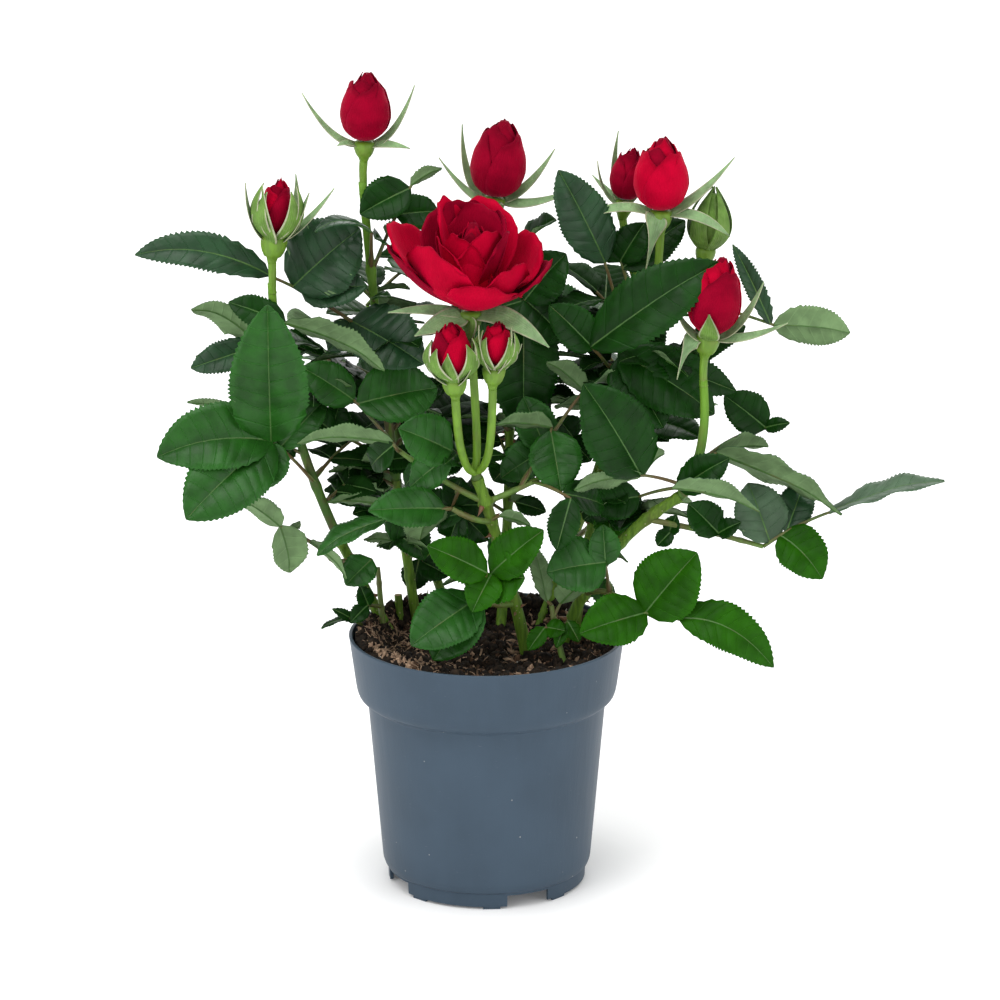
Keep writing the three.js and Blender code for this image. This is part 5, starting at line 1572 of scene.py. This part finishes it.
def thorn(name):
    """A hooked prickle about 1 m long, standing on +Z, with a broad foot."""
    t = np.linspace(0, 1, 6)
    turn = around(6)
    width = 0.26 * (1 - t) ** 1.3 + 0.012
    bend = -0.32 * t**2
    points = np.stack([
        bend[:, None] + (width * 1.5)[:, None] * np.cos(turn)[None],
        width[:, None] * np.sin(turn)[None],
        np.repeat((t - 0.12)[:, None], 6, 1),
    ], -1)
    return thing_from(name, points)


grower = Grower()
soil_piece = make_soil()
ground_map(soil_piece, "anywhere", (0, 0), 200, 1, 1)
ground_map(soil_piece, "inside", (0, 0), 200, 1, 3.6)
ground_map(soil_piece, "left", (-48, 4), 22, 0.04, 4.6)
ground_map(soil_piece, "left_front", (-36, -35), 26, 0.04, 2.6)
ground_map(soil_piece, "rim", (0, -52), 60, 0.25, 0.6)
SCATTERED = (
    ("peat_crumbs", lump("crumb", 3, (0.8, 0.7)), "anywhere", 240000, 0.0013, 0.0044, 3.0, "peat"),
    ("bark_chips", lump("chip", 5, (0.5, 0.3)), "inside", 50000, 0.003, 0.008, 0.9, "bark_chip"),
    ("clods", lump("clod", 21, (0.8, 0.75), 5, 7), "inside", 26000, 0.004, 0.008, 3.0, "peat"),
    ("coir_fibres", strand("fibre", 8, 0.22, 0.055), "left", 560000, 0.004, 0.0105, 0.7, "coir"),
    ("coir_clump", lump("tuft", 30, (0.55, 0.3)), "left_front", 800000, 0.0025, 0.0065, 1.2, "coir"),
    ("root_hairs", strand("hair", 12, 0.35, 0.022), "inside", 9000, 0.005, 0.01, 0.6, "coir"),
    ("grit", lump("grain", 9, (0.9, 0.8)), "rim", 16000, 0.0006, 0.0015, 3.0, "grit"),
)
for number, (name, thing, share, density, smallest, largest, lean, finish) in enumerate(SCATTERED):
    grower.scatter(
        name, soil_piece, thing, "soil", Density=float(density), Share=share, Smallest=smallest,
        Largest=largest, Lean=lean, Seed=number + 2, Finish=FINISHES[finish],
    )

write_share(bark_piece, "above_soil", ease(SOIL_TOP + 6, SOIL_TOP + 14, corners_of(bark_piece)[2]))
grower.scatter(
    "prickles", bark_piece, thorn("thorn"), "cane", Density=3600.0, Share="above_soil", Smallest=0.0024,
    Largest=0.0052, Lean=0.25, Seed=4, Finish=FINISHES["prickle"],
)


# ---------- the studio ----------


FLOOR_HALF = 40  # metres
# The floor's glow: weaker beside the pot, which is a painted shade round its foot, and stronger away from it,
# which is painted light that keeps the floor white.
GLOW_IN_PAINTED_SHADE_BESIDE_THE_POT = 0.08
GLOW_AWAY = 0.3
WORLD_LIGHT = 0.85
# Lamps: place and size in metres, and power in watts.
LAMPS = {
    "overhead": ((-0.25, -0.35, 1.7), (1.5, 1.3), 21),
    "front_left": ((-1.3, -1.5, 0.95), (1.1, 1.1), 13),
    "front_right": ((1.5, -1.1, 0.6), (1.0, 1.2), 7),
    "behind": ((0.3, 1.6, 1.1), (1.4, 0.9), 9),
}


def studio():
    """A white floor that glows a little away from the pot, with a painted shade round the pot's foot where
    its glow drops, and soft lamps.
    """
    corners = [(x * FLOOR_HALF, y * FLOOR_HALF, 0) for x, y in ((-1, -1), (1, -1), (1, 1), (-1, 1))]
    floor = body_from("studio_floor", corners, [(0, 1, 2, 3)])
    white = Finish("studio_white", Specular_IOR_Level=0.0, Roughness=1.0, Emission_Strength=1.0)
    white.colour((0.8, 0.8, 0.8))
    reach = white.node("ShaderNodeVectorMath", {"operation": "LENGTH"}, {0: white.place()}, out=1)
    # Painted glow, which drops beside the pot into a painted shade.
    painted_glow_and_shade = white.mix((GLOW_IN_PAINTED_SHADE_BESIDE_THE_POT,) * 3, (GLOW_AWAY,) * 3, reach.between(0.045, 0.095))
    white.put(white.shader.inputs["Emission Color"], painted_glow_and_shade)
    floor.data.materials.append(white.material)
    for name, (place, size, power) in LAMPS.items():
        light = bpy.data.lights.new(name, "AREA")
        light.shape = "RECTANGLE"
        light.size, light.size_y = size
        light.energy = power
        lamp = bpy.data.objects.new(name, light)
        bpy.context.scene.collection.objects.link(lamp)
        lamp.location = place
        aim = Vector((0, 0, 0.17)) - Vector(place)
        lamp.rotation_euler = aim.to_track_quat("-Z", "Y").to_euler()
    world = bpy.data.worlds.new("studio")
    world.use_nodes = True
    sky = world.node_tree.nodes["Background"]
    sky.inputs["Color"].default_value = (1, 1, 1, 1)
    sky.inputs["Strength"].default_value = WORLD_LIGHT
    bpy.context.scene.world = world
    bpy.context.scene.view_settings.view_transform = "Standard"


CAMERA_AIM = (5.82, 0, 172.28)  # mm
CAMERA_DISTANCE = 2200  # mm
CAMERA_ELEVATION = 16.635  # degrees
CAMERA_LENS = 183.5  # mm
CAMERA_SENSOR = 36  # mm wide


def camera():
    data = bpy.data.cameras.new("camera")
    data.lens = CAMERA_LENS
    data.sensor_width = CAMERA_SENSOR
    data.clip_end = 100
    eye = bpy.data.objects.new("camera", data)
    bpy.context.scene.collection.objects.link(eye)
    rise = math.radians(CAMERA_ELEVATION)
    away = Vector((0, -math.cos(rise), math.sin(rise)))
    eye.location = (Vector(CAMERA_AIM) + away * CAMERA_DISTANCE) * MM
    eye.rotation_euler = (-away).to_track_quat("-Z", "Y").to_euler()
    bpy.context.scene.camera = eye


studio()
camera()
